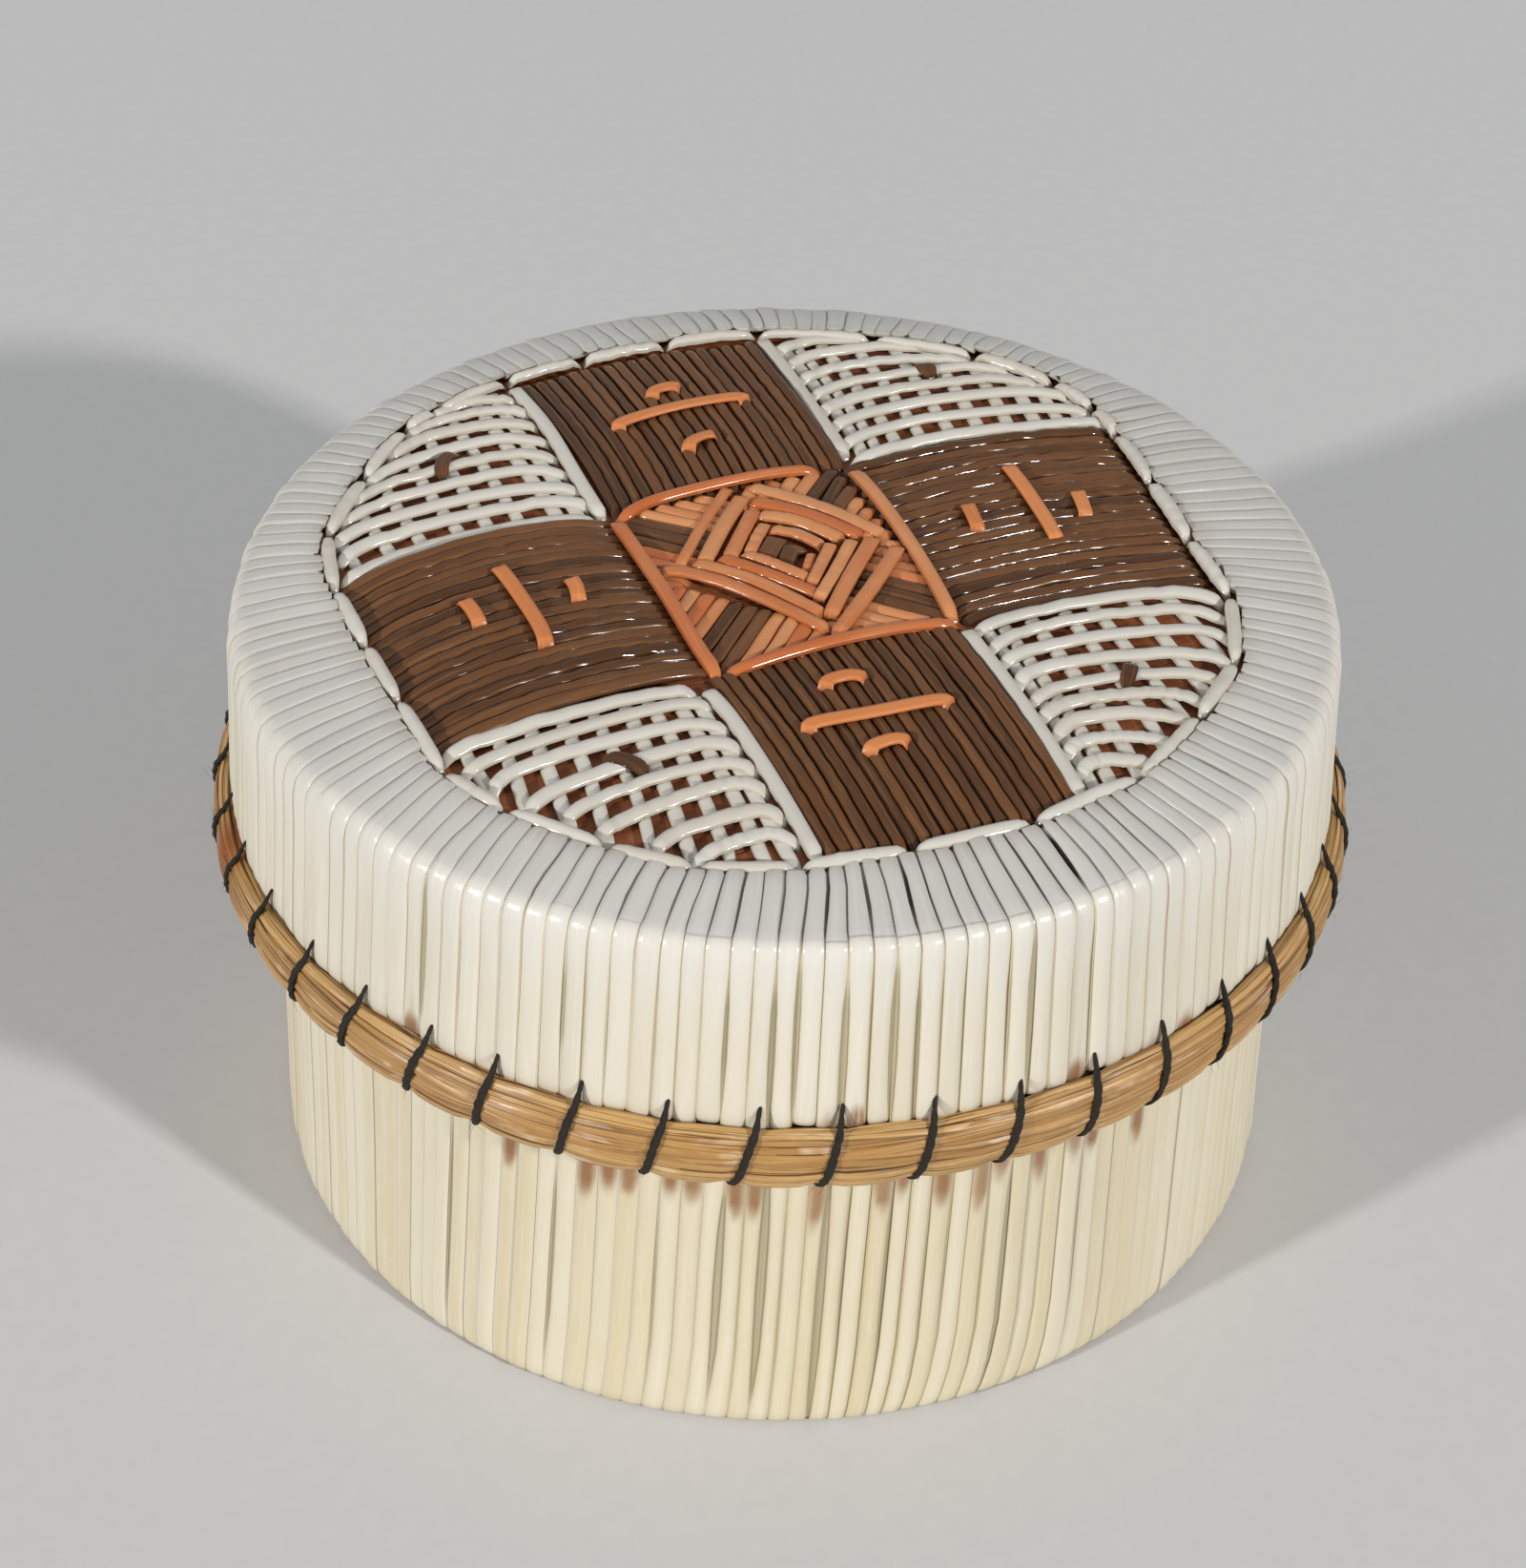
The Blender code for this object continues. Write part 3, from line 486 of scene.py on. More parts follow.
RING_PLACES = ((-41.4, 13.9), (-41.5, 4.2), (-41.3, -5.1), (-41, -16.7), (-37.7, -23.9),
               (-31.2, -31.9), (-24.9, -37.5), (-16.5, -40.9), (-6.3, -42.4), (5.4, -42.9),
               (17.3, -40.7), (26.8, -34.6), (34, -28.5), (38.8, -18.7), (39.7, -8.9),
               (41.1, 1.8), (42.1, 11.1), (42.2, 16.5), (40.7, 22.7), (35.3, 31), (26.5, 37.8),
               (15.3, 43.3), (5.2, 44.8), (-4.3, 44.9), (-13.2, 43.9), (-21.8, 41),
               (-26, 38.8), (-32.7, 31.6), (-39.2, 23.4))
OPEN_RIM_GAPS = ((-149, 0.65), (-144, 0.25), (-134, 0.45), (-126, 0.25), (-118, 0.4), (-115, 0.45),
                 (-112, 0.4), (-108, 0.45), (-104, 0.7), (-101, 0.3), (-91, 0.5))
TIPPED_RIM_QUILLS = (95, 114, 115, 125, 129, 131, 30, 61, 148)
ring_places = np.array(RING_PLACES)


def ring_reach(angle):
    """Distance from the middle to the ring: where a ray crosses the straight quill it meets."""
    bearing = np.arctan2(ring_places[:, 1], ring_places[:, 0]) % (2 * np.pi)
    order = np.argsort(bearing)
    bearing = bearing[order]
    distance = np.hypot(*ring_places[order].T)
    bearing = np.concatenate([bearing[-1:] - 2 * np.pi, bearing, bearing[:1] + 2 * np.pi])
    distance = np.concatenate([distance[-1:], distance, distance[:1]])
    turn = angle % (2 * np.pi)
    here = np.searchsorted(bearing, turn, side="right") - 1
    near, far = distance[here], distance[here + 1]
    before, after = bearing[here], bearing[here + 1]
    return near * far * np.sin(after - before) / (near * np.sin(turn - before)
                                                  + far * np.sin(after - turn))


def rim_edge_shade(tree):
    """Painted shade in slits on top, darker at the front and near black where plates part, and in side gaps.
    """
    across, down, number = parts_of(tree, quill_place(tree))
    front = carried(tree, "facing")
    apart = ramp(tree, maths(tree, "ABSOLUTE", across), 1.4, 2.2)
    pale = blend(tree, front, colour(200, 197, 190), colour(176, 170, 158))
    tight = times(tree, ramp(tree, chance(tree, number, 23.1), 0.3, 0.9),
                  ramp(tree, front, 0.0, 0.5, 0.3, 1.0))
    # near black painted shade where the plates stand apart, grey where they touch
    slit = blend(tree, apart, blend(tree, tight, pale, colour(118, 108, 94)), colour(40, 26, 17))
    return blend(tree, ramp(tree, down, -1.0, 2.0), slit, gap_shade(tree))


def rim_body(lit):
    """White on top and down the side, darker in patches near the ring, painted shade along the crease."""
    def made(tree):
        _, down, number = parts_of(tree, quill_place(tree))
        body = blend(tree, ramp(tree, down, 0.0, 13.0, 0.75, 0.0), tipped(lit)(tree), colour(220, 217, 210))
        body = blend(tree, ramp(tree, down, -0.4, 0.8, 0.7, 0.0), body, colour(203, 201, 196))
        # darker and browner in patches near the inner end by the ring
        ring_darkening = times(tree, noise(tree, quill_place(tree), (0.8, 0.3, 17.0)), 3.0)
        ring_darkening = ramp(tree, maths(tree, "SUBTRACT", ring_darkening, down), 7.6, 11.5, 0.0, 0.5)
        body = blend(tree, ring_darkening, body, colour(166, 154, 130))
        # a thin line of painted shade at the crease, strongest towards the front
        line = ramp(tree, maths(tree, "ABSOLUTE", down), 0.04, 0.18, 0.45, 0.0)
        line = times(tree, line, carried(tree, "facing"))
        line = times(tree, line, ramp(tree, chance(tree, number, 13.7), 0.35, 0.5))
        return blend(tree, line, body, colour(110, 108, 106))
    return made


def rim_gloss(tree):
    """Polished on top, duller down the side."""
    return ramp(tree, parts_of(tree, quill_place(tree))[1], 1.0, 4.0, 0.26, 0.42)


rim_white = skinned("rim_quills", quill, quill_place,
                    {"Body": rim_body(colour(221, 214, 196)), "Other": rim_body(colour(214, 205, 184)),
                     "EdgeShade": rim_edge_shade, "Streak": colour(230, 227, 216), "Streaks": 0.3,
                     "Gloss": rim_gloss, "FlankShade": 0.12}, 0.03)
profile = np.array(RIM_PROFILE)
share = np.linspace(0, 1, len(profile))
down = along(profile[None])[0]
down -= down[CREASE]
on_top = np.clip(-down / TOP_RUN, 0, 1)
past_crease = np.clip(-down / CREASE_RUN, 0, 1)
aside = each(0.08) + waves(QUILLS, share, 0.05)
aside += on_top * (each(0.2) + (0.45 * np.sin(3 * middle + 1) + 0.25 * np.sin(8 * middle))[:, None])
aside += each(0.15) * np.sin(np.pi * on_top)
aside += each(0.07) * np.sin(2 * np.pi * on_top)
aside -= np.clip(down / SIDE_RUN, 0, 1) * (0.3 + 0.5 * np.sin(2 * middle + 0.6))[:, None]
worn = facing[:, None]
gap = side_gaps(profile[:, 1], 43.0, 61.5, OPEN_RIM_GAPS, 16)
gap += worn * draw.uniform(0.0, 0.24, (QUILLS, 1)) * np.clip((down - 2.0) / 3, 0, 1)
wedge = (draw.uniform(-0.5, 0.2, (QUILLS, 1)).clip(0)
         + draw.uniform(-0.4, 0.5, (QUILLS, 1)).clip(0) * worn ** 2)
gap += np.clip(-down / 2, 0, 1) * 0.05 + wedge * np.sin(np.pi * np.clip(-down / WEDGE_RUN, 0, 1)) ** 0.8
gap[:, -3:] += (0.04, 0.2, 0.6)
gap[:, 0] += draw.uniform(0.1, 0.4, QUILLS)
start = np.zeros_like(aside)
inner = ring_reach(middle) + draw.uniform(0.6, 1.0, QUILLS)
flat_run = profile[:CREASE, 0]
moved = inner[:, None] + (flat_run - flat_run[0]) / (profile[CREASE, 0] - flat_run[0]) * (
    profile[CREASE, 0] - inner[:, None])
start[:, :CREASE] = moved - flat_run
lift = each(0.04) + waves(QUILLS, share, 0.04) + each(0.05) * on_top
thickness = QUILL_THICKNESS + 0 * aside
thickness[:, 0] = 0.45
thickness[:, CREASE:CREASE + 6] = (0.7, 0.65, 0.6, 0.6, 0.48, 0.55)
thickness[:, -2:] = (0.7, 0.5)
flat = np.clip(1 - (down - 1.0) / 3.0, 0, 1)
deep = 0.5 - 0.42 * past_crease
ends = each(0.25) * np.clip((down - down[-1] + 4) / 4, 0, 1)
soft = np.array(SOFT_FOLD)  # how far a rounder fold lies from the sharp one, away from the front
start[:, CREASE - 1:CREASE + 5] += (1 - worn) * soft[:, 0]
ends[:, CREASE - 1:CREASE + 5] += (1 - worn) * soft[:, 1]
sunk = 0.01 + 0.03 * worn + (0.02 + 0.05 * worn) * past_crease
points, spread = fill_quills(profile, start, aside, gap, lift, flat, thickness, sunk, deep, fall, ends,
                             draw.normal(0, 0.04, QUILLS))
number = draw.uniform(0, 1, (QUILLS, 1, 1))
place = placed(spread, down[:, None] + draw.uniform(-0.35, 0.35, (QUILLS, 1, 1)), number)
tip = brown_ends(TIPPED_RIM_QUILLS, spread, down[-1] - down, 3.5, 5.0)
mesh_piece("rim_quills", points, 50, rim_white, "lid", ["lid_rim_quills"],
           {"quill_place": place, "tip": tip, "facing": facing[:, None, None] + 0 * spread})

# Ring of straight white quills, laid end to end round the design.
# Each one is a whole quill pushed through the bark at both ends, so it swells in its middle and
# is pinched where it goes in, with painted shade there.
BARK_TOP = 62.454  # the bark of the lid at its edge
DOME_RISE = 1.8
DOME_RADIUS = 53.6
# painted shade darkens a quill over this length towards its end
END_LENGTH = 0.9  # over which a quill darkens towards its end
END_ROOM = 0.15  # left where a quill ends at another


def bark_height(x, y):
    """The domed bark of the lid: highest in the middle, falling with the square of the radius."""
    return BARK_TOP + DOME_RISE * (1 - (x ** 2 + y ** 2) / DOME_RADIUS ** 2)


def through(places, stations):
    """A smooth line through places: on each span a cubic that meets the next one's slope."""
    places = np.asarray(places, float)
    held = np.vstack([2 * places[0] - places[1], places, 2 * places[-1] - places[-2]])
    reach = np.linspace(0, len(places) - 1, stations)
    span = np.minimum(reach.astype(int), len(places) - 2)
    part = (reach - span)[:, None]
    before, here, after, beyond = (held[span + step] for step in range(4))
    line = 2 * here + (after - before) * part
    line += (2 * before - 5 * here + 4 * after - beyond) * part ** 2
    line += (3 * here - before - 3 * after + beyond) * part ** 3
    return line / 2


def lay_quills(name, finish, stands_for, runs, width, thickness, lift, shape, stations=16, arch=0.0,
               dip=1.4, drop=0.7, pinch=0.55, wander=0.0, lean=0.0, taper=None, ripple=0.0):
    """One piece of quills laid on the bark through places (x, y): a shape carried along each line.

    The line stands lift above the bark, rises by arch in its middle, and over the last dip it
    drops, while over the last taper it narrows to its pinched ends. wander bends it aside, lean
    turns its section, and ripple is the height of the small waves along it.
    """
    pieces = len(runs)
    line = np.stack([through(run, stations) for run in runs])
    share = np.linspace(0, 1, stations)
    travelled = along(line)
    length = travelled[:, -1:]
    tangent = np.gradient(line, axis=1)
    tangent /= np.linalg.norm(tangent, axis=2, keepdims=True)
    beside = np.stack([tangent[..., 1], -tangent[..., 0]], axis=-1)
    line = line + beside * waves(pieces, share, wander)[..., None]
    near_end = np.minimum(travelled, length - travelled) / dip
    full = np.sin(np.clip(near_end, 0, 1) * np.pi / 2)
    body = np.sin(np.clip(near_end * dip / (taper or dip), 0, 1) * np.pi / 2)
    half = np.reshape(width, (-1, 1)) / 2 * (pinch + (1 - pinch) * body)
    tall = np.reshape(thickness, (-1, 1)) * (0.5 + 0.5 * full)
    base = np.reshape(lift, (-1, 1)) + arch * np.sin(np.pi * share) - drop * (1 - full)
    for turns in (5, 8, 11, 17, 23):
        base = base + draw.normal(0, ripple, (pieces, 1)) * wave(pieces, turns * np.pi * share)
    shape = np.array([*shape, (shape[-1][0], 0.0), (shape[0][0], 0.0)])
    across = half[..., None] * shape[:, 0]
    rise = base[..., None] + tall[..., None] * shape[:, 1]
    rise = rise + across * waves(pieces, share, lean)[..., None]
    x = line[..., None, 0] + beside[..., None, 0] * across
    y = line[..., None, 1] + beside[..., None, 1] * across
    points = np.stack([x, y, bark_height(x, y) + rise], axis=-1)
    place = placed(shape[:, 0], travelled[..., None], draw.uniform(0, 1, (pieces, 1, 1)))
    # painted shade towards both ends, where the quill goes into the bark
    end = np.broadcast_to(1 - np.clip(near_end * dip / END_LENGTH, 0, 1)[..., None], x.shape)
    mesh_piece(name, points, 60, finish, "lid", stands_for, {"quill_place": place, "tip": end})


def shaded_end(body, end):
    """A quill's colour, which turns to painted shade towards its end where it goes through the bark."""
    def made(tree):
        return blend(tree, ramp(tree, carried(tree, "tip"), 0.35, 1.0, 0.0, 0.85), body, end)
    return made


BARREL_SECTION = section(0.4, (0.88, 0.74), (0.48, 0.96))
# painted shade at the ends of white quills
white_end = colour(120, 104, 84)
laid_white = skinned("laid_white_quills", quill, quill_place,
                     {"Body": shaded_end(colour(220, 216, 207), white_end),
                      "Other": shaded_end(colour(212, 205, 192), white_end), "EdgeShade": colour(174, 164, 144),
                      "Streak": colour(226, 221, 210), "Streaks": 0.35, "Gloss": 0.15, "FlankShade": 0.2}, 0.03)
closed_ring = np.vstack([ring_places, ring_places[:1]])
bearing = np.arctan2(closed_ring[:, 1], closed_ring[:, 0])
runs = []
for first, second in zip(closed_ring[:-1], closed_ring[1:]):
    step = (second - first) / np.hypot(*(second - first))
    out = np.array([step[1], -step[0]])
    out *= np.sign(out @ (first + second))
    bow = draw.uniform(0.0, 0.3)
    runs.append([first + step * END_ROOM, (first + second) / 2 + out * bow, second - step * END_ROOM])
lay_quills("ring_quills", laid_white, ["scallop_ring"], runs,
           draw.uniform(1.35, 1.6, len(runs)), 0.75, 0.6, BARREL_SECTION, stations=18, arch=0.2, dip=1.2,
           drop=0.6, pinch=0.4, taper=2.6, lean=0.08, ripple=0.02)

# The four arms: brown dyed quills side by side, from the square in the middle out to the ring.
ARM_QUILLS = 20
ARM_END = 41.5
arm_layouts = {  # direction, start, both edges: near, middle, far, rise in its middle, dip at its ends
    "back": ((0, 1), 15.0, (-12.3, -11.5, -11.9), (13.1, 13.9, 14.5), 0.45, 2.0),
    "front": ((0, -1), 12.3, (-13.6, -13.3, -13.6), (11.3, 11.1, 10.8), 0.45, 1.6),
    "left": ((-1, 0), 11.9, (-12.7, -12.5, -13.7), (15.0, 16.3, 14.8), 1.1, 5.0),
    "right": ((1, 0), 12.2, (-14.2, -14.2, -16.0), (15.0, 15.6, 13.4), 0.15, 2.0),
}


def arm_rise(side, out):
    """Height that an arm's quills gain between their ends, at a distance from the middle."""
    _, near, _, _, rise, _ = arm_layouts[side]
    return rise * np.sin(np.pi * (out - near) / (ARM_END - near))


# painted shade at the ends of brown quills
brown_end = colour(40, 26, 20)
ARM_SECTION = section(0.3, (0.84, 0.7), (0.44, 0.94))
# its edge colour is the near black painted shade between the brown quills
arm_brown = skinned("brown_quills", quill, quill_place,
                    {"Body": shaded_end(colour(118, 78, 47), brown_end),
                     "Other": shaded_end(colour(78, 50, 30), brown_end), "EdgeShade": colour(42, 27, 17),
                     "Streak": colour(138, 98, 62), "Streaks": 0.6, "Gloss": 0.12, "FlankShade": 0.0}, 0.02,
                    {"Specular IOR Level": 0.3})
for side, (direction, near, low_edge, high_edge, rise, dip) in arm_layouts.items():
    ahead = np.array(direction, float)
    beside = np.array([abs(ahead[1]), abs(ahead[0])])
    runs = []
    pitch = (high_edge[1] - low_edge[1]) / ARM_QUILLS
    for part in (np.arange(ARM_QUILLS) + 0.5) / ARM_QUILLS:
        near_off, middle_off, far_off = (low + (high - low) * part for low, high in zip(low_edge, high_edge))
        far = ARM_END
        for _ in range(8):  # closes in on the ring at this quill's own bearing
            spot = ahead * far + beside * far_off
            limit = ring_reach(np.array([np.arctan2(spot[1], spot[0])]))[0] - END_ROOM
            far = np.sqrt(max(limit ** 2 - far_off ** 2, 0))
        runs.append([out + beside * off for out, off in (
            (ahead * near, near_off), (ahead * (near * 2 + far) / 3, near_off * 0.2 + middle_off * 0.8),
            (ahead * (near + far * 2) / 3, middle_off * 0.75 + far_off * 0.25), (ahead * far, far_off))])
    lay_quills(f"arm_quills_{side}", arm_brown, [f"arm_{side}"], runs,
               pitch * draw.uniform(0.9, 1.03, ARM_QUILLS), draw.uniform(0.62, 0.76, ARM_QUILLS),
               draw.uniform(0.02, 0.2, ARM_QUILLS), ARM_SECTION, stations=44, arch=rise, dip=dip, drop=0.5,
               pinch=0.8, wander=0.05, lean=0.05, taper=2.0, ripple=0.032 if ahead[0] else 0.022)

# White quills that edge the back and front arms, and the four open lattices between the arms.
# In a lattice the warps run away from the front and lie on the bark; the wefts cross over them
# and go through the bark at both ends.
border_runs = {
    "back_left": [(-13.3, 15.2), (-12.9, 24), (-12.4, 34), (-12.8, 43.2)],
    "back_right": [(13.9, 16.6), (14.5, 26), (15.1, 35), (15.4, 42.6)],
    "front_left": [(-14.6, -14.6), (-14, -20), (-14, -30), (-14.4, -40.6)],
    "front_right": [(12, -14.6), (12, -24), (11.7, -33), (11.2, -41.2)],
}
for corner, run in border_runs.items():
    lay_quills(f"border_quill_{corner}", laid_white, [f"border_{corner}"], [run], 1.4, 0.7,
               0.35, FLAT_SECTION, stations=24, arch=0.1, dip=1.0, drop=0.6, pinch=0.6, wander=0.03)

weft_runs = {
    "front_left": [
        [(-40.1, -14.6), (-37.5, -13.9), (-33, -13.5), (-28, -13.4), (-22, -13.6),
         (-17.8, -14.1), (-16, -15)],
        [(-39.2, -17.6), (-36.8, -16.7), (-33, -16.2), (-28, -15.9), (-22, -15.8),
         (-17.5, -16.1), (-15.2, -17.2)],
        [(-37.7, -20.8), (-36.2, -19.5), (-33, -18.9), (-28, -18.6), (-22, -18.7),
         (-17.5, -19.2), (-15.1, -20.8)],
        [(-35.6, -24.4), (-33.4, -23.2), (-29, -22.5), (-24, -22.1), (-20, -22),
         (-17, -22.3), (-15.1, -23.9)],
        [(-33.1, -27.1), (-31.2, -26.1), (-27, -25.4), (-22, -25.1), (-18, -25.4),
         (-16.2, -25.9), (-15, -27.4)],
        [(-31.2, -30.1), (-29.2, -29.2), (-25, -28.5), (-20, -28.2), (-17, -28.5), (-15.2, -30.2)],
        [(-27.4, -33.8), (-25.3, -32.6), (-22, -32.3), (-18, -32.4), (-16.2, -32.9), (-15.3, -34.3)],
        [(-24.8, -37.1), (-22.6, -36), (-19.5, -35.6), (-17, -35.8), (-15.3, -37.4)],
    ],
    "front_right": [
        [(13, -15.7), (16, -15.1), (22, -15), (28, -15.4), (33, -16.2), (36, -17.4), (37.5, -19.2)],
        [(12.9, -19), (15.5, -17.8), (20, -17.4), (25, -17.6), (30, -18.4), (34, -19.4), (36.6, -22)],
        [(12.9, -21.3), (15.5, -20.4), (20, -20.3), (25, -20.8), (30, -21.7), (33.5, -22.8), (35.3, -25)],
        [(12.8, -24.8), (14.8, -23.4), (19, -23.3), (24, -24), (29, -25.2), (32, -26.6), (33.6, -28.2)],
        [(12.8, -27.7), (15.5, -26.5), (20, -26.6), (24, -27.2), (28, -28.2), (30, -29.2), (31.2, -30.6)],
        [(12.7, -30.1), (15.5, -28.9), (20, -29.1), (24, -30), (26.5, -31.1), (28.2, -33)],
        [(12.7, -33), (15, -31.4), (19, -31.6), (22, -32.5), (24.3, -33.8), (25.9, -34.6)],
        [(12.5, -35.6), (14.3, -34.3), (17.5, -34.6), (20.3, -35.6), (22.6, -37.3)],
        [(12.5, -38.4), (13.8, -37.4), (16.5, -37.6), (19.5, -39.1)],
    ],
    "back_left": [
        [(-40, 15.3), (-36.5, 16.5), (-31, 17.2), (-25, 17.2), (-20, 16.7), (-16.5, 16), (-14.3, 15)],
        [(-39.3, 18.6), (-36.8, 20.1), (-32, 20.7), (-26, 20.8), (-20, 20.3), (-16, 19.4), (-14, 17.8)],
        [(-38.9, 21.6), (-36, 23.1), (-31, 23.7), (-25, 23.8), (-19, 23.2), (-15.8, 22.2), (-13.9, 20.8)],
        [(-37.3, 24.8), (-33.5, 26.4), (-28, 27), (-22, 27), (-17, 26.4), (-13.8, 24.3)],
        [(-35.2, 27.8), (-32, 29.4), (-27, 30), (-21, 30.2), (-16.8, 29.6), (-13.7, 27.6)],
        [(-32.6, 30.6), (-30, 32.3), (-25, 33.2), (-20, 33.3), (-16.5, 32.6), (-13.5, 30.8)],
        [(-29.2, 34.6), (-25.5, 36.3), (-21, 36.6), (-16.5, 36), (-13.4, 34.4)],
        [(-26.2, 37.6), (-23, 39), (-18, 39.1), (-15, 38.4), (-13.3, 37.1)],
        [(-22.6, 40.1), (-20, 41.3), (-16.5, 41.4), (-13.7, 40.3)],
    ],
    "back_right": [
        [(14.6, 15.7), (19, 16.4), (25, 16.5), (31, 15.9), (37, 14.9), (40.5, 14.3), (42, 13.3)],
        [(14.5, 18.6), (17.5, 19.7), (22, 20.2), (27, 20), (33, 19.3), (38, 18.2), (41.6, 16.4)],
        [(14.9, 22.2), (17.5, 23.2), (22, 23.7), (27, 23.6), (33, 23), (38, 21.9), (41, 19.8)],
        [(15.1, 25.5), (18, 26.6), (24, 27), (30, 26.6), (35, 25.8), (39.2, 23.6)],
        [(15.4, 28.8), (18.3, 29.8), (24, 30.1), (30, 29.5), (34.5, 28.6), (37.4, 26.8)],
        [(15.5, 32.2), (18.3, 33.2), (23, 33.4), (28, 32.6), (32, 31.4), (34.3, 30.2)],
        [(15.6, 35.6), (18.3, 36.7), (22.5, 36.8), (27, 36), (31.4, 34.3)],
        [(15.8, 38.8), (18, 39.7), (21.5, 39.6), (25.6, 38.2)],
    ],
}
warp_runs = {
    "front_left": [
        [(-38.1, -14), (-38, -17.5), (-37.9, -21)],
        [(-34.7, -13.6), (-34.9, -18), (-35.7, -24.2)],
        [(-31.5, -13.5), (-31.9, -19), (-32.9, -27.6)],
        [(-28.4, -13.4), (-28.7, -20), (-29.5, -26), (-30.7, -31.4)],
        [(-25.4, -13.4), (-25.6, -20.5), (-26.1, -27), (-27.4, -33.4)],
        [(-22.3, -13.6), (-22.7, -20), (-23.3, -27), (-24.6, -36.6)],
        [(-20, -13.8), (-20.1, -20), (-20.3, -27), (-21.4, -36.8)],
        [(-17.6, -14.4), (-17.6, -20), (-17.9, -30), (-18.8, -39)],
        [(-15.9, -15.2), (-16, -22), (-16.2, -30), (-16.6, -40.6)],
    ],
    "front_right": [
        [(14, -15.3), (14.1, -22), (13.9, -30), (12.9, -40.6)],
        [(15.8, -15.2), (15.7, -24), (15.4, -33), (14.7, -40.4)],
        [(18.9, -15), (18.9, -24), (18.6, -33), (17.7, -40)],
        [(22.5, -15.1), (22.6, -24), (22.3, -32), (21.7, -37.4)],
        [(25.5, -15.3), (25.6, -24), (25.6, -34)],
        [(29.8, -15.7), (29.7, -23), (29.3, -31.2)],
        [(33.3, -16.5), (33.6, -22), (33.3, -27.6)],
    ],
    "back_left": [
        [(-38, 16), (-38.1, 19), (-38.2, 22)],
        [(-34.2, 16.8), (-34.5, 21), (-34.8, 26.6)],
        [(-30.8, 17.2), (-31.1, 24), (-31.2, 31.6)],
        [(-27, 17.2), (-27.2, 25), (-27.3, 35.8)],
        [(-24.1, 17.1), (-24.1, 26), (-24.2, 38.8)],
        [(-21.1, 16.8), (-20.8, 27), (-20.6, 40.8)],
        [(-17.2, 16.2), (-17.1, 28), (-17.4, 42.6)],
        [(-15.2, 15.5), (-15.3, 28), (-15.2, 43.2)],
    ],
    "back_right": [
        [(15.7, 16.1), (16.6, 22), (16.9, 30), (17, 41.2)],
        [(17.5, 16.3), (18.1, 22), (18.5, 30), (18.5, 41.4)],
        [(19.9, 16.4), (20.5, 22), (21, 30), (21.3, 40.6)],
        [(22.8, 16.5), (23.4, 22), (24.1, 30), (24.6, 38.9)],
        [(26.2, 16.4), (26.8, 22), (27.6, 29), (28.3, 36.4)],
        [(29.3, 16.2), (30.1, 22), (30.8, 28), (31.4, 34.3)],
        [(32.4, 15.8), (33.7, 22), (34.6, 30.4)],
        [(35.4, 15.3), (36.5, 21.5), (37.4, 27)],
        [(37.9, 14.9), (38.7, 20), (39.4, 24)],
        [(40.1, 14.5), (40.6, 17), (41.1, 19.6)],
    ],
}


def longer(run, more):
    """A run whose both ends go on by the same length."""
    places = np.array(run)
    start, end = places[0] - places[1], places[-1] - places[-2]
    return [places[0] + start / np.hypot(*start) * more, *places[1:-1],
            places[-1] + end / np.hypot(*end) * more]


for corner in weft_runs:
    wefts = [longer(run, 0.7) for run in weft_runs[corner]]
    warps = [longer(run, 0.8) for run in warp_runs[corner]]
    lay_quills(f"lattice_warps_{corner}", laid_white, [], warps,
               draw.uniform(1.15, 1.45, len(warps)), 0.45, 0.12, FLAT_SECTION, stations=24, dip=1.0,
               drop=0.5, pinch=0.7, wander=0.06)
    lay_quills(f"lattice_wefts_{corner}", laid_white, [f"lattice_{corner}"], wefts,
               draw.uniform(1.42, 1.66, len(wefts)), 0.55, 0.55, BARREL_SECTION, stations=32, arch=0.15,
               dip=1.8, drop=0.9, wander=0.06, lean=0.06, taper=2.6, ripple=0.03)

# The square in the middle: quills fan across its corners, a diamond of orange quills is wound
# over them strip on strip, and four orange quills frame it.
FAN_PITCH = 1.5
FAN_COUNT = 11
# painted shade at the ends of orange quills
orange_end = colour(150, 80, 40)
orange = skinned("orange_quills", quill, quill_place,
                 {"Body": shaded_end(colour(222, 156, 104), orange_end),
                  "Other": shaded_end(colour(200, 106, 52), orange_end), "EdgeShade": colour(140, 70, 34),
                  "Streak": colour(228, 164, 108), "Streaks": 0.4, "Gloss": 0.12, "FlankShade": 0.15}, 0.02)
SQUARE_MIDDLE = np.array([0.0, 1.25])
SQUARE_HALF = np.array([12.3, 14.0])
FAN_START = 7.0  # from the middle of the square
DARK_HALF = 1.7  # from the middle of a fan; the quills within it are brown
for corner, turn in enumerate((45, 135, 225, 315), 1):
    ahead = np.array([np.cos(np.radians(turn)), np.sin(np.radians(turn))])
    beside = np.array([-ahead[1], ahead[0]])
    fans = {"orange": [], "brown": []}
    for offset in (np.arange(FAN_COUNT) - (FAN_COUNT - 1) / 2) * FAN_PITCH:
        near = SQUARE_MIDDLE + ahead * FAN_START + beside * offset
        room = (SQUARE_HALF * np.sign(ahead) + SQUARE_MIDDLE - near) / ahead
        far = near + ahead * (min(room) + 0.3)
        fans["brown" if abs(offset) < DARK_HALF else "orange"].append([near, (near + far) / 2, far])
    for kind, finish in (("orange", orange), ("brown", arm_brown)):
        count = len(fans[kind])
        lay_quills(f"corner_fan_{kind}_{corner}", finish,
                   [f"corner_fan_{corner}"] if kind == "orange" else [], fans[kind],
                   draw.uniform(1.35, 1.6, count), 0.55, draw.uniform(0.05, 0.2, count), BARREL_SECTION,
                   stations=12, dip=1.0, drop=0.3, pinch=0.7, wander=0.05, lean=0.09)

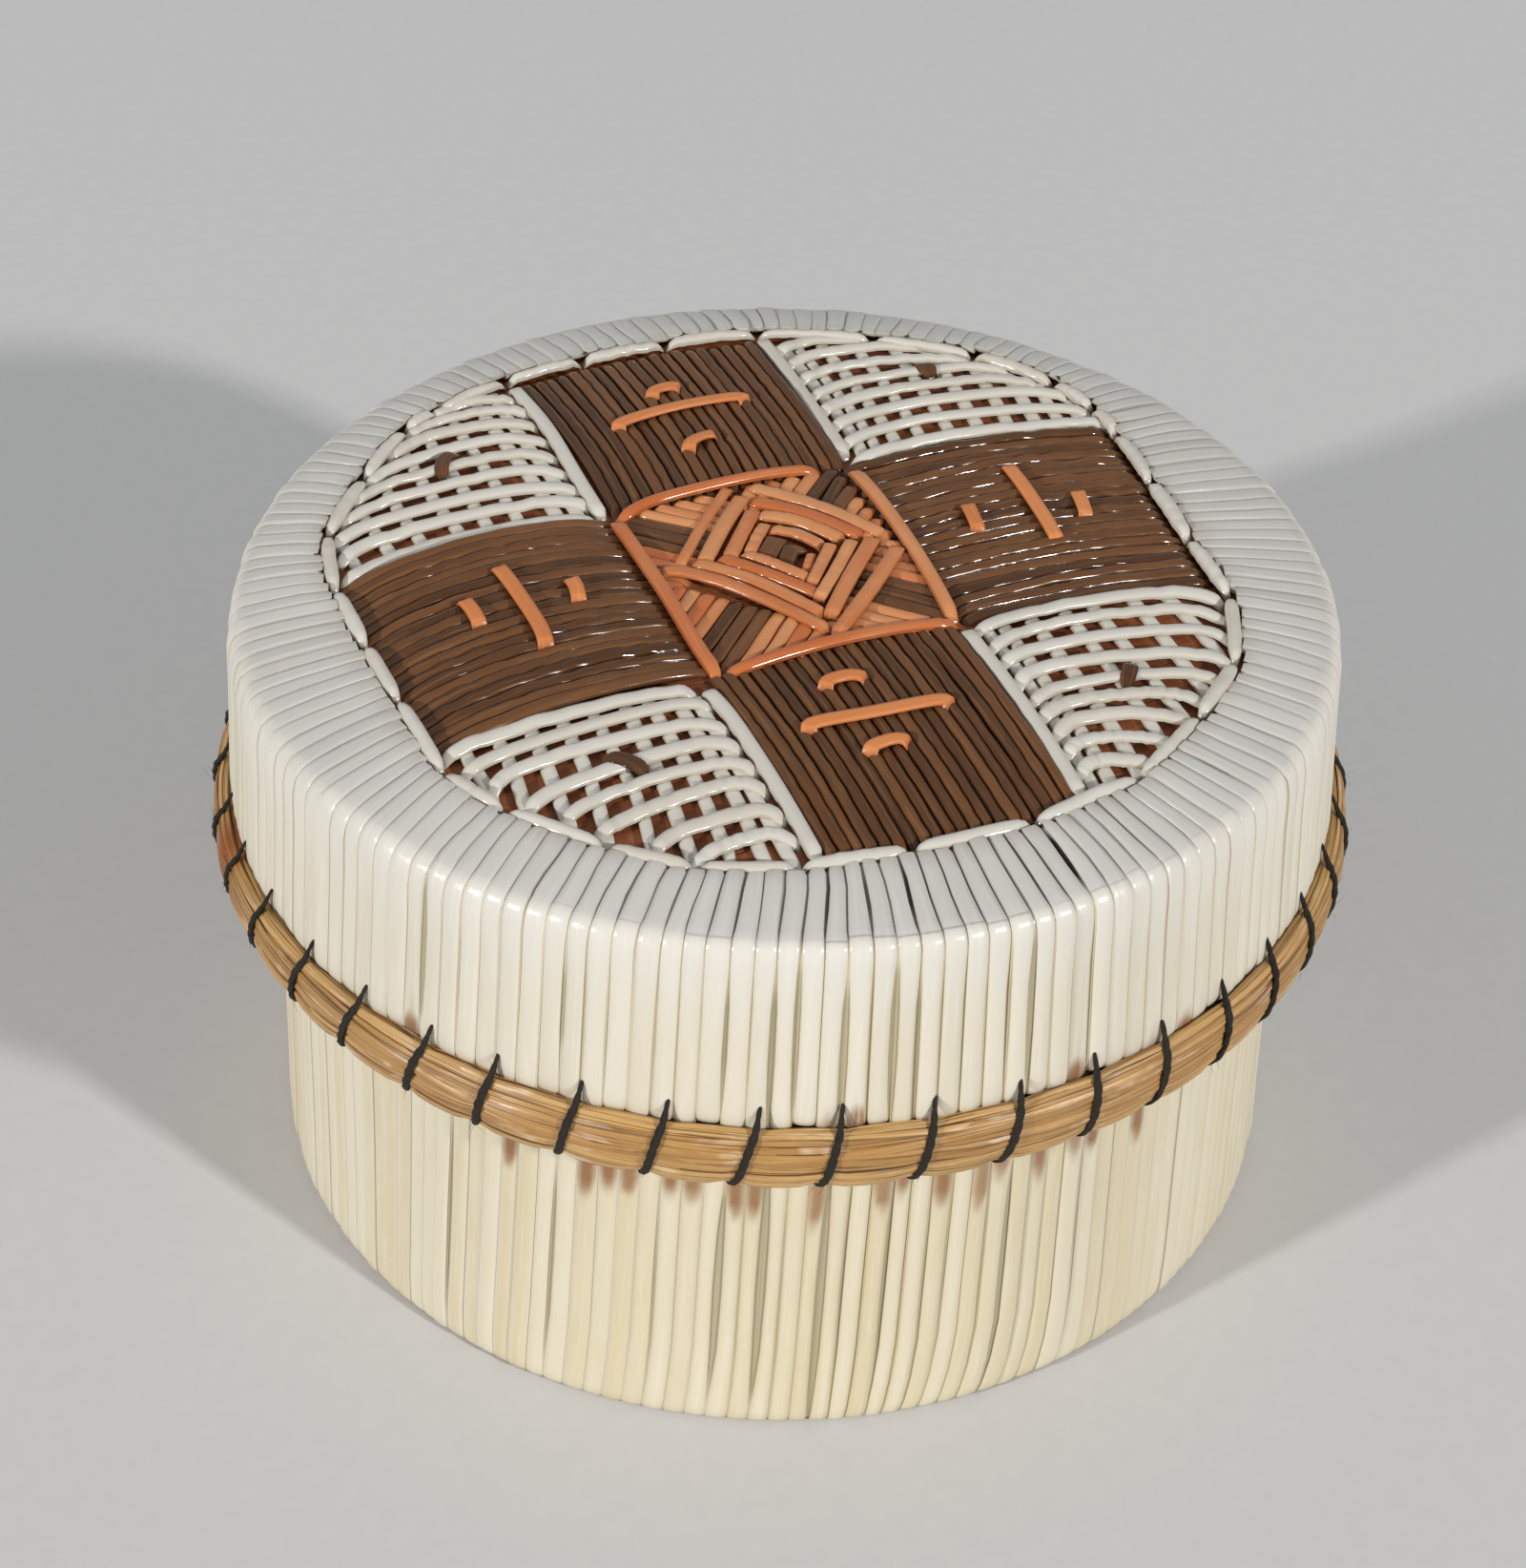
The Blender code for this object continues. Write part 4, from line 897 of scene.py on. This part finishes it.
STRIP_SECTION = section(0.5, (0.88, 0.8), (0.5, 0.96))
diamond_strips = [  # run, width
    ([(-9.6, 4.2), (-4.6, 10.1), (0.5, 15.6)], 1.2),
    ([(2.2, 14.9), (7.2, 8.9), (11.3, 1.9)], 1.7),
    ([(-11.8, 3.9), (-9.2, 2.7), (-4.9, -2.7), (-0.3, -10.9)], 1.6),
    ([(0.1, -11.8), (6.2, -6.3), (11.9, -0.5)], 1.6),
    ([(-7.2, 3.8), (-2.9, 9), (1.3, 13.6)], 1.7),
    ([(1.2, 12.2), (5.2, 8.4), (9.3, 2.4)], 1.7),
    ([(-8.2, 4.3), (-4, -0.6), (0.3, -8.3)], 1.6),
    ([(0.6, -9), (5.4, -3.5), (10.2, 1.8)], 1.6),
    ([(-4.6, 3.5), (-1.5, 7.4), (1.3, 10.9)], 1.6),
    ([(1, 9.8), (4.3, 7), (7.2, 2.6)], 1.6),
    ([(-5.5, 4.2), (-2.6, 0.2), (1.2, -5.3)], 1.5),
    ([(0.7, -6.1), (4.4, -2.2), (8.1, 2.2)], 1.4),
    ([(-2.5, 3.5), (-0.6, 5.9), (1.4, 8.2)], 1.3),
    ([(1, 6.9), (3.2, 5.1), (4.9, 2.1)], 1.4),
    ([(-3.1, 4), (-0.9, 0.9), (1.4, -2.6)], 1.3),
    ([(1, -3.6), (3.4, -0.8), (5.9, 2.3)], 1.3),
    ([(1.3, -1.3), (2.4, 0.1), (3.6, 1.7)], 1.0),
]
core_strips = [
    ([(-1.1, 2.6), (0.1, 3.9), (1.5, 5.4)], 2.1),
    ([(0.3, 1), (1.3, 2.3), (2.4, 3.7)], 1.7),
    ([(1.2, 3.7), (2.3, 2.6), (3.2, 2.7)], 1.2),
]
runs, widths = zip(*diamond_strips)
heights = 0.5 + 0.09 * (np.arange(len(runs)) % 4)  # the four strips of a round lie on each other
lay_quills("diamond_quills", orange, [f"diamond_ring_{ring}" for ring in range(1, 6)], runs,
           np.array(widths) * 0.98, 0.45, heights, STRIP_SECTION, stations=30, arch=0.1, dip=0.9, drop=0.35,
           pinch=0.85, wander=0.03, lean=0.05, ripple=0.01)
runs, widths = zip(*core_strips)
lay_quills("diamond_core_quills", arm_brown, ["diamond_core"], runs, widths, 0.5, 0.4,
           FLAT_SECTION, stations=10, dip=0.6, drop=0.2, pinch=0.9)
frame_runs = [
    [(-12.8, -13.6), (-12.9, -8), (-12.6, 0), (-12.5, 8), (-12.4, 14.5)],
    [(-12.2, -13.4), (-6, -12.9), (0, -12.8), (6, -13.1), (11.9, -14)],
    [(11.6, -13.6), (12.3, -8), (13, 0), (13.4, 8), (13.3, 14.3)],
    [(-12.1, 14.1), (-7.8, 15.7), (-1, 16.1), (5, 16), (10.4, 15.2)],
]
for side, run in enumerate(frame_runs, 1):
    lay_quills(f"square_frame_{side}", orange, [f"square_border_{side}"], [run], 1.4, 0.65,
               0.55, FLAT_SECTION if side % 2 else BARREL_SECTION, stations=26, arch=0.25, dip=1.8, drop=0.6,
               pinch=0.6, wander=0.03)

# Dyed stitches: on each arm a long orange bar between two short ones, and a brown stitch on
# each lattice. They are flat pieces of quill whose ends bend down through the bark.
RIBBON_SECTION = section(0.6, (0.9, 0.9), (0.45, 1.0), crown=0.92)
stitch_runs = {
    "back": [[(-6.2, 29.1), (-5, 30.3), (1, 31), (7.2, 30.6), (8.3, 29.5)],
             [(-1.1, 22.7), (-0.2, 23.9), (1.6, 24.5), (2.9, 24.4)],
             [(-0.5, 33.9), (0.2, 35.1), (2, 35.4), (3.2, 34.8)]],
    "front": [[(-8.6, -25), (-7.6, -24), (-2, -24.5), (4.3, -25), (5.3, -25.9)],
              [(-4.6, -19.5), (-3.7, -18.6), (-1.5, -18.6), (-0.2, -19.5)],
              [(-4.8, -29.7), (-3.8, -28.9), (-1.6, -28.8), (-0.5, -29.6)]],
    "left": [[(-26.4, 9.7), (-26.1, 6), (-26, -1), (-26.4, -4.3)],
             [(-20.5, 5.3), (-20.5, 3.4), (-21, 1.3)],
             [(-31.2, 5.9), (-30.9, 3.6), (-31, 1.3)]],
    "right": [[(28.3, 9.1), (28.1, 5), (27.5, -1), (26.9, -5.3)],
              [(21.3, 3.8), (20.9, 1.8), (20.3, -0.9)],
              [(32.9, 2.4), (32.4, 0.3), (31.7, -2.2)]],
}
orange_flat = skinned("orange_stitches", quill, quill_place,
                      {"Body": shaded_end(colour(224, 140, 80), orange_end),
                       "Other": shaded_end(colour(212, 126, 68), orange_end), "EdgeShade": colour(178, 98, 48),
                       "Streak": colour(232, 160, 100), "Streaks": 0.4, "Gloss": 0.34, "FlankShade": 0.0}, 0.04)
for side, runs in stitch_runs.items():
    out = [abs(np.dot(run[len(run) // 2], arm_layouts[side][0])) for run in runs]
    lay_quills(f"stitches_{side}", orange_flat,
               [f"bar_{side}", f"inner_dash_{side}", f"outer_dash_{side}"], runs, (1.5, 1.45, 1.45), 0.32,
               0.9 + arm_rise(side, np.array(out)), RIBBON_SECTION, stations=20, arch=0.1, dip=0.6, drop=0.8,
               pinch=1.08, wander=0.03, lean=0.04)
knot_runs = {
    "back_left": ([(-25.5, 28.2), (-25, 30), (-24, 31.4), (-22.4, 32.1)], 1.5),
    "back_right": ([(29.2, 31.3), (29, 29.8), (29, 28)], 2.1),
    "front_left": ([(-27.4, -21), (-26.1, -21.5), (-25, -22.7), (-24.2, -24.5)], 1.7),
    "front_right": ([(24.6, -25.3), (23.5, -26.8), (22.1, -28.6)], 1.5),
}
for corner, (run, width) in knot_runs.items():
    lay_quills(f"lattice_knot_{corner}", arm_brown, [f"lattice_stitch_{corner}"], [run],
               width, 0.25, 1.1, FLAT_SECTION, arch=0.1, drop=0.5, pinch=0.4)

# Sweetgrass edge: a bundle of long dry blades bent round the lower edge of the lid.
# The thread pinches it at each stitch and it swells between them; the blades wander, cross and
# lie over each other.
EDGE_RADIUS = 55.6
EDGE_MIDDLE = 40.0
EDGE_WIDE = 1.22
EDGE_TALL = 3.0
STITCHES = 43
STITCH_START = -0.12
BLADES = 60
LAP = 174  # bearing where the ends of the bundle overlap
LAP_REACH = 4.5
stitch_angle = (np.arange(STITCHES) + STITCH_START + draw.normal(0, 0.035, STITCHES)) * 2 * np.pi / STITCHES
stitch_slant = (0.28 + 0.08 * np.cos(stitch_angle + np.radians(165))
                + draw.normal(0, 0.04, STITCHES)) * 2 * np.pi / STITCHES


def edge_oval(turn, phase):
    """Half width and half height of the bundle: pinched by each stitch, fuller between them."""
    high = (np.sin(phase) + 1) / 2
    closest = np.full(np.broadcast(turn, phase).shape, np.pi)
    for angle, slant in zip(stitch_angle, stitch_slant):
        gap = np.abs((turn - angle - slant * high + np.pi) % (2 * np.pi) - np.pi)
        closest = np.minimum(closest, gap)
    away = closest * EDGE_RADIUS
    pinch = peak(away, 0.0, 1.0)
    below = np.clip(-np.sin(phase), 0, 1)
    swell = 0.04 * np.sin(np.clip(away / 4.2, 0, 1) * np.pi / 2)
    return (EDGE_WIDE * (1.03 + swell - 0.14 * pinch),
            EDGE_TALL * (0.99 + swell - 0.05 * pinch + below * (0.05 + swell - 0.13 * pinch)))


def edge_point(turn, phase, off=0.0):
    """A point on the bundle's oval section at a bearing, held off it along its radius."""
    wide, tall = edge_oval(turn, phase)
    reach = EDGE_RADIUS + (wide + off) * np.cos(phase)
    return np.stack([reach * np.cos(turn), reach * np.sin(turn),
                     EDGE_MIDDLE + (tall + off) * np.sin(phase)], axis=-1)


def grass_skin(tree, taken):
    """Dry grass on (across, millimetres along, number of the blade): fine veins, painted shade at
    the edges of blades and patches of painted sheen.
    """
    place = taken["Place"]
    across, _, number = parts_of(tree, place)
    vein = noise(tree, place, (3.0, 0.05, 71.0), 3.0, 0.6)
    patch = noise(tree, place, (0.2, 0.16, 19.0), 3.0)
    tone = ramp(tree, maths(tree, "ADD", chance(tree, number, 5.77), patch), 0.4, 1.6)
    body = blend(tree, tone, taken["Body"], taken["Other"])
    # patches of painted sheen
    body = blend(tree, ramp(tree, patch, 0.55, 0.72, 0.0, 0.75), body, taken["Sheen"])
    body = blend(tree, ramp(tree, vein, 0.52, 0.64, 0.0, 0.75), body, taken["VeinAndShade"])
    # painted shade along the edges of some blades
    edge = times(tree, ramp(tree, maths(tree, "ABSOLUTE", across), 0.62, 0.9),
                 ramp(tree, chance(tree, number, 3.91), 0.35, 0.6, 0.3, 1.0))
    return blend(tree, edge, body, taken["VeinAndShade"]), ramp(tree, vein, 0.3, 0.7, 0.25, 0.45), vein


def lapped(body):
    """Grass that turns reddish brown where the ends of the bundle overlap."""
    def made(tree):
        return blend(tree, carried(tree, "lap"), body, colour(150, 84, 14))
    return made


blade = effect("grass skin", grass_skin, ("Body", "Other", "VeinAndShade", "Sheen"))
grass = skinned("sweetgrass", blade, quill_place,
                {"Body": lapped(colour(203, 161, 100)), "Other": lapped(colour(170, 124, 66)),
                 "VeinAndShade": colour(70, 40, 16), "Sheen": lapped(colour(234, 206, 172))}, 0.09)
# a dark core under the blades: painted shade that shows where the blades part
core_shade = skinned("sweetgrass_core_shade", bark, wall_place,
                     {"Body": colour(120, 80, 42), "Shade": colour(84, 54, 28), "Pore": colour(60, 36, 18),
                      "Pores": 0.3}, 0.2)
stations = STITCHES * 6
turn = np.linspace(0, 2 * np.pi, stations, endpoint=False)[None, :]
phase = np.linspace(0, 2 * np.pi, 16, endpoint=False)
core = edge_point(turn[..., None], phase[None, None, :], -0.35)
mesh_piece("sweetgrass_core_shade", core, 60, core_shade, "lid", [], closed=True)
base_phase = (np.arange(BLADES) + draw.uniform(-0.25, 0.25, BLADES))[:, None] * 2 * np.pi / BLADES
drift = np.zeros((BLADES, stations))
for turns in range(1, 7):
    drift += draw.normal(0, 0.16 / np.sqrt(turns), (BLADES, 1)) * wave(BLADES, turns * turn)
blade_phase = base_phase + drift
lap = peak(np.degrees(turn), LAP, LAP_REACH)
blade_half = draw.uniform(0.24, 0.5, (BLADES, 1)) * (1 + 0.12 * wave(BLADES, 3 * turn))
layer = (np.arange(BLADES) % 3)[:, None] * 0.1 - 0.16 + 0.15 * lap + 0.05 * wave(BLADES, 5 * turn)
corners = ((-1.0, 0.0), (-0.42, 0.2), (0.42, 0.2), (1.0, 0.0), (0.0, -0.16))
girth = (EDGE_WIDE + EDGE_TALL) / 2
points = np.stack([edge_point(turn + 0 * blade_phase, blade_phase + across * blade_half / girth, layer + up)
                   for across, up in corners], axis=2)
place = placed(np.array(corners)[:, 0], (turn * EDGE_RADIUS)[..., None], draw.uniform(0, 1, (BLADES, 1, 1)))
mesh_piece("sweetgrass_blades", points, 60, grass, "lid", ["sweetgrass_bundle"],
           {"quill_place": place, "lap": lap[..., None] + 0 * points[..., 0]}, closed=True)

# Whipping thread: one black two-ply thread wound round the sweetgrass, a turn to each stitch.
# It slants across the outside, dives in over the top and comes out again below.
PLY_RADIUS = 0.31
PLY_TWIST = 2.6  # length of one twist
STEPS = 84  # stations for each turn
OUTSIDE, INSIDE = 0.56, 0.44  # shares of a turn
DIVE = np.radians(98)  # where it dives in
position = np.arange(STITCHES * STEPS)
which = position // STEPS
part = (position % STEPS) / STEPS
following = (which + 1) % STITCHES
start_angle = stitch_angle[which]
end_angle = stitch_angle[following] + 2 * np.pi * (following < which)
outer = np.clip(part / OUTSIDE, 0, 1)
inner = np.clip((part - OUTSIDE) / INSIDE, 0, 1)
turn = start_angle + stitch_slant[which] * outer + (end_angle - start_angle - stitch_slant[which]) * inner
phase = -np.pi / 2 + 2 * np.pi * part
middle = edge_point(turn, phase, 0.4)
dive = peak(phase, DIVE, np.radians(20))  # up into the quills of the lid
middle[:, 2] += 2.3 * dive
behind = (np.clip((phase - np.radians(97)) / np.radians(14), 0, 1)
          * np.clip((np.radians(165) - phase) / 0.5, 0, 1))
middle[:, :2] *= (1 - (0.5 * dive + 1.1 * behind) / EDGE_RADIUS)[:, None]
tangent = np.roll(middle, -1, axis=0) - np.roll(middle, 1, axis=0)
tangent /= np.linalg.norm(tangent, axis=1, keepdims=True)
centre = np.stack([EDGE_RADIUS * np.cos(turn), EDGE_RADIUS * np.sin(turn), EDGE_MIDDLE + 0 * turn], axis=1)
outward = middle - centre
outward -= np.sum(outward * tangent, axis=1, keepdims=True) * tangent
outward /= np.linalg.norm(outward, axis=1, keepdims=True)
sideways = np.cross(tangent, outward)
length = np.sum(np.linalg.norm(np.roll(middle, -1, axis=0) - middle, axis=1))
twists = round(length / PLY_TWIST)
travelled = np.concatenate([[0], np.cumsum(np.linalg.norm(np.diff(middle, axis=0), axis=1))])
drawn = 1.08 - 0.6 * peak(phase, DIVE, np.radians(22))  # thin where it dives
plies = []
for ply in range(2):
    twist = 2 * np.pi * twists * travelled / length + ply * np.pi
    line = middle + (PLY_RADIUS * 0.3 * drawn)[:, None] * (
        np.cos(twist)[:, None] * outward * 0.8 + np.sin(twist)[:, None] * sideways)
    around = np.linspace(0, 2 * np.pi, 6, endpoint=False)
    ring = (np.cos(around)[:, None] * outward[:, None] * 0.75
            + np.sin(around)[:, None] * sideways[:, None] * 1.05)
    plies.append(line[:, None] + (PLY_RADIUS * drawn)[:, None, None] * ring)
points = np.stack(plies)
place = placed(np.linspace(-1, 1, 6), travelled[:, None], np.array([0.2, 0.7])[:, None, None])


def thread_skin(tree, taken):
    """Spun thread on (across, millimetres along, ply): fine fibres, grey dust and painted sheen."""
    fibres = noise(tree, taken["Place"], (5.0, 4.0, 9.0), 3.0, 0.7)
    # lighter fibres: grey dust, and painted sheen where fuzz catches the light
    dust_and_sheen = blend(tree, ramp(tree, fibres, 0.5, 0.8, 0.0, 0.7), taken["Body"], taken["DustAndSheen"])
    return dust_and_sheen, ramp(tree, fibres, 0.2, 0.8, 0.8, 0.95), fibres


spun = effect("thread skin", thread_skin, ("Body", "DustAndSheen"))
black = skinned("black_thread", spun, quill_place,
                {"Body": colour(30, 24, 16), "DustAndSheen": colour(76, 64, 48)}, 0.08)
mesh_piece("thread_plies", points, 80, black, "lid", ["whipping_thread"],
           {"quill_place": place}, closed=True)
HAIRS = 700
HAIR_RADIUS = 0.022
chosen = draw.integers(0, len(middle), HAIRS)
chosen = chosen[(chosen % STEPS) < STEPS * 0.5]
root = middle[chosen] + outward[chosen] * 0.25
lean = draw.normal(0, 1, (len(chosen), 3)) * 0.55 + outward[chosen] * 0.5 + sideways[chosen] * draw.choice(
    [-1.0, 1.0], (len(chosen), 1))
lean /= np.linalg.norm(lean, axis=1, keepdims=True)
bend = draw.normal(0, 0.35, (len(chosen), 3))
reach = draw.uniform(0.4, 1.3, (len(chosen), 1))
hair = np.stack([root + (lean * step + bend * step ** 2) * reach for step in (0.0, 0.4, 0.75, 1.0)], axis=1)
corner = np.array([(1.0, 0.0, 0.0), (-0.5, 0.866, 0.0), (-0.5, -0.4, 0.77)])
points = hair[:, :, None] + HAIR_RADIUS * corner * np.array([1.0, 0.9, 0.7, 0.4])[:, None, None]
mesh_piece("thread_fuzz", points, 80, black, "lid", [])

# The floor, a plain pale sheet, with one lamp to the left and one to the front right.
FLOOR_SIZE = 6000
floor_mesh = bpy.data.meshes.new("floor")
half = FLOOR_SIZE / 2
floor_mesh.from_pydata([(x * half * MM, y * half * MM, 0) for x, y in ((-1, -1), (1, -1), (1, 1), (-1, 1))],
                       [], [(0, 1, 2, 3)])
paper = bpy.data.materials.new("floor_paper")
paper.use_nodes = True
tree = paper.node_tree
spots = noise(tree, add(tree, "ShaderNodeTexCoord").outputs["Object"], (400, 400, 400), 4.0)
pale = blend(tree, ramp(tree, spots, 0.3, 0.7), colour(208, 208, 208), colour(210, 210, 209))
plug(tree, tree.nodes["Principled BSDF"], {"Base Color": pale, "Roughness": 0.9})
floor_mesh.materials.append(paper)
floor = shown("floor", floor_mesh)

world = bpy.data.worlds.new("soft_room")
world.use_nodes = True
plug(world.node_tree, world.node_tree.nodes["Background"],
     {"Color": (0.95, 0.97, 1.0, 1), "Strength": 0.375})
bpy.context.scene.world = world
LAMP_DISTANCE = 4.0
LAMP_SIZE = 0.2


def stand(name, held, place, turn):
    """Put a lamp or the camera at a place, turned."""
    made = shown(name, held)
    made.location = place
    made.rotation_mode = "QUATERNION"
    made.rotation_quaternion = turn
    return made


for name, direction, watts in (("front_right_lamp", (0.394, -0.815, 0.425), 96.0),
                               ("left_lamp", (-0.926, -0.183, 0.33), 96.5)):
    lamp = bpy.data.lights.new(name, "AREA")
    lamp.size = LAMP_SIZE
    lamp.energy = watts
    lamp.color = (1.0, 0.985, 0.965)
    bearing = Vector(direction).normalized()
    stand(name, lamp, bearing * LAMP_DISTANCE, bearing.to_track_quat("Z", "Y"))

# The camera stands at the photograph's viewing angle.
CAMERA_PLACE = Vector((-0.1129, -0.2484, 0.2545))
CAMERA_AIM = Vector((-0.0016, 0.0007, 0.0382))
CAMERA_ROLL = 0.0256
camera = bpy.data.cameras.new("camera")
camera.lens = 78.33
camera.sensor_width = 36
camera.clip_start = 0.01
camera.clip_end = 20
aim = (CAMERA_AIM - CAMERA_PLACE).to_track_quat("-Z", "Y")
eye = stand("camera", camera, CAMERA_PLACE, aim @ Quaternion((0, 0, 1), CAMERA_ROLL))
bpy.context.scene.camera = eye
bpy.context.scene.view_settings.view_transform = "Standard"
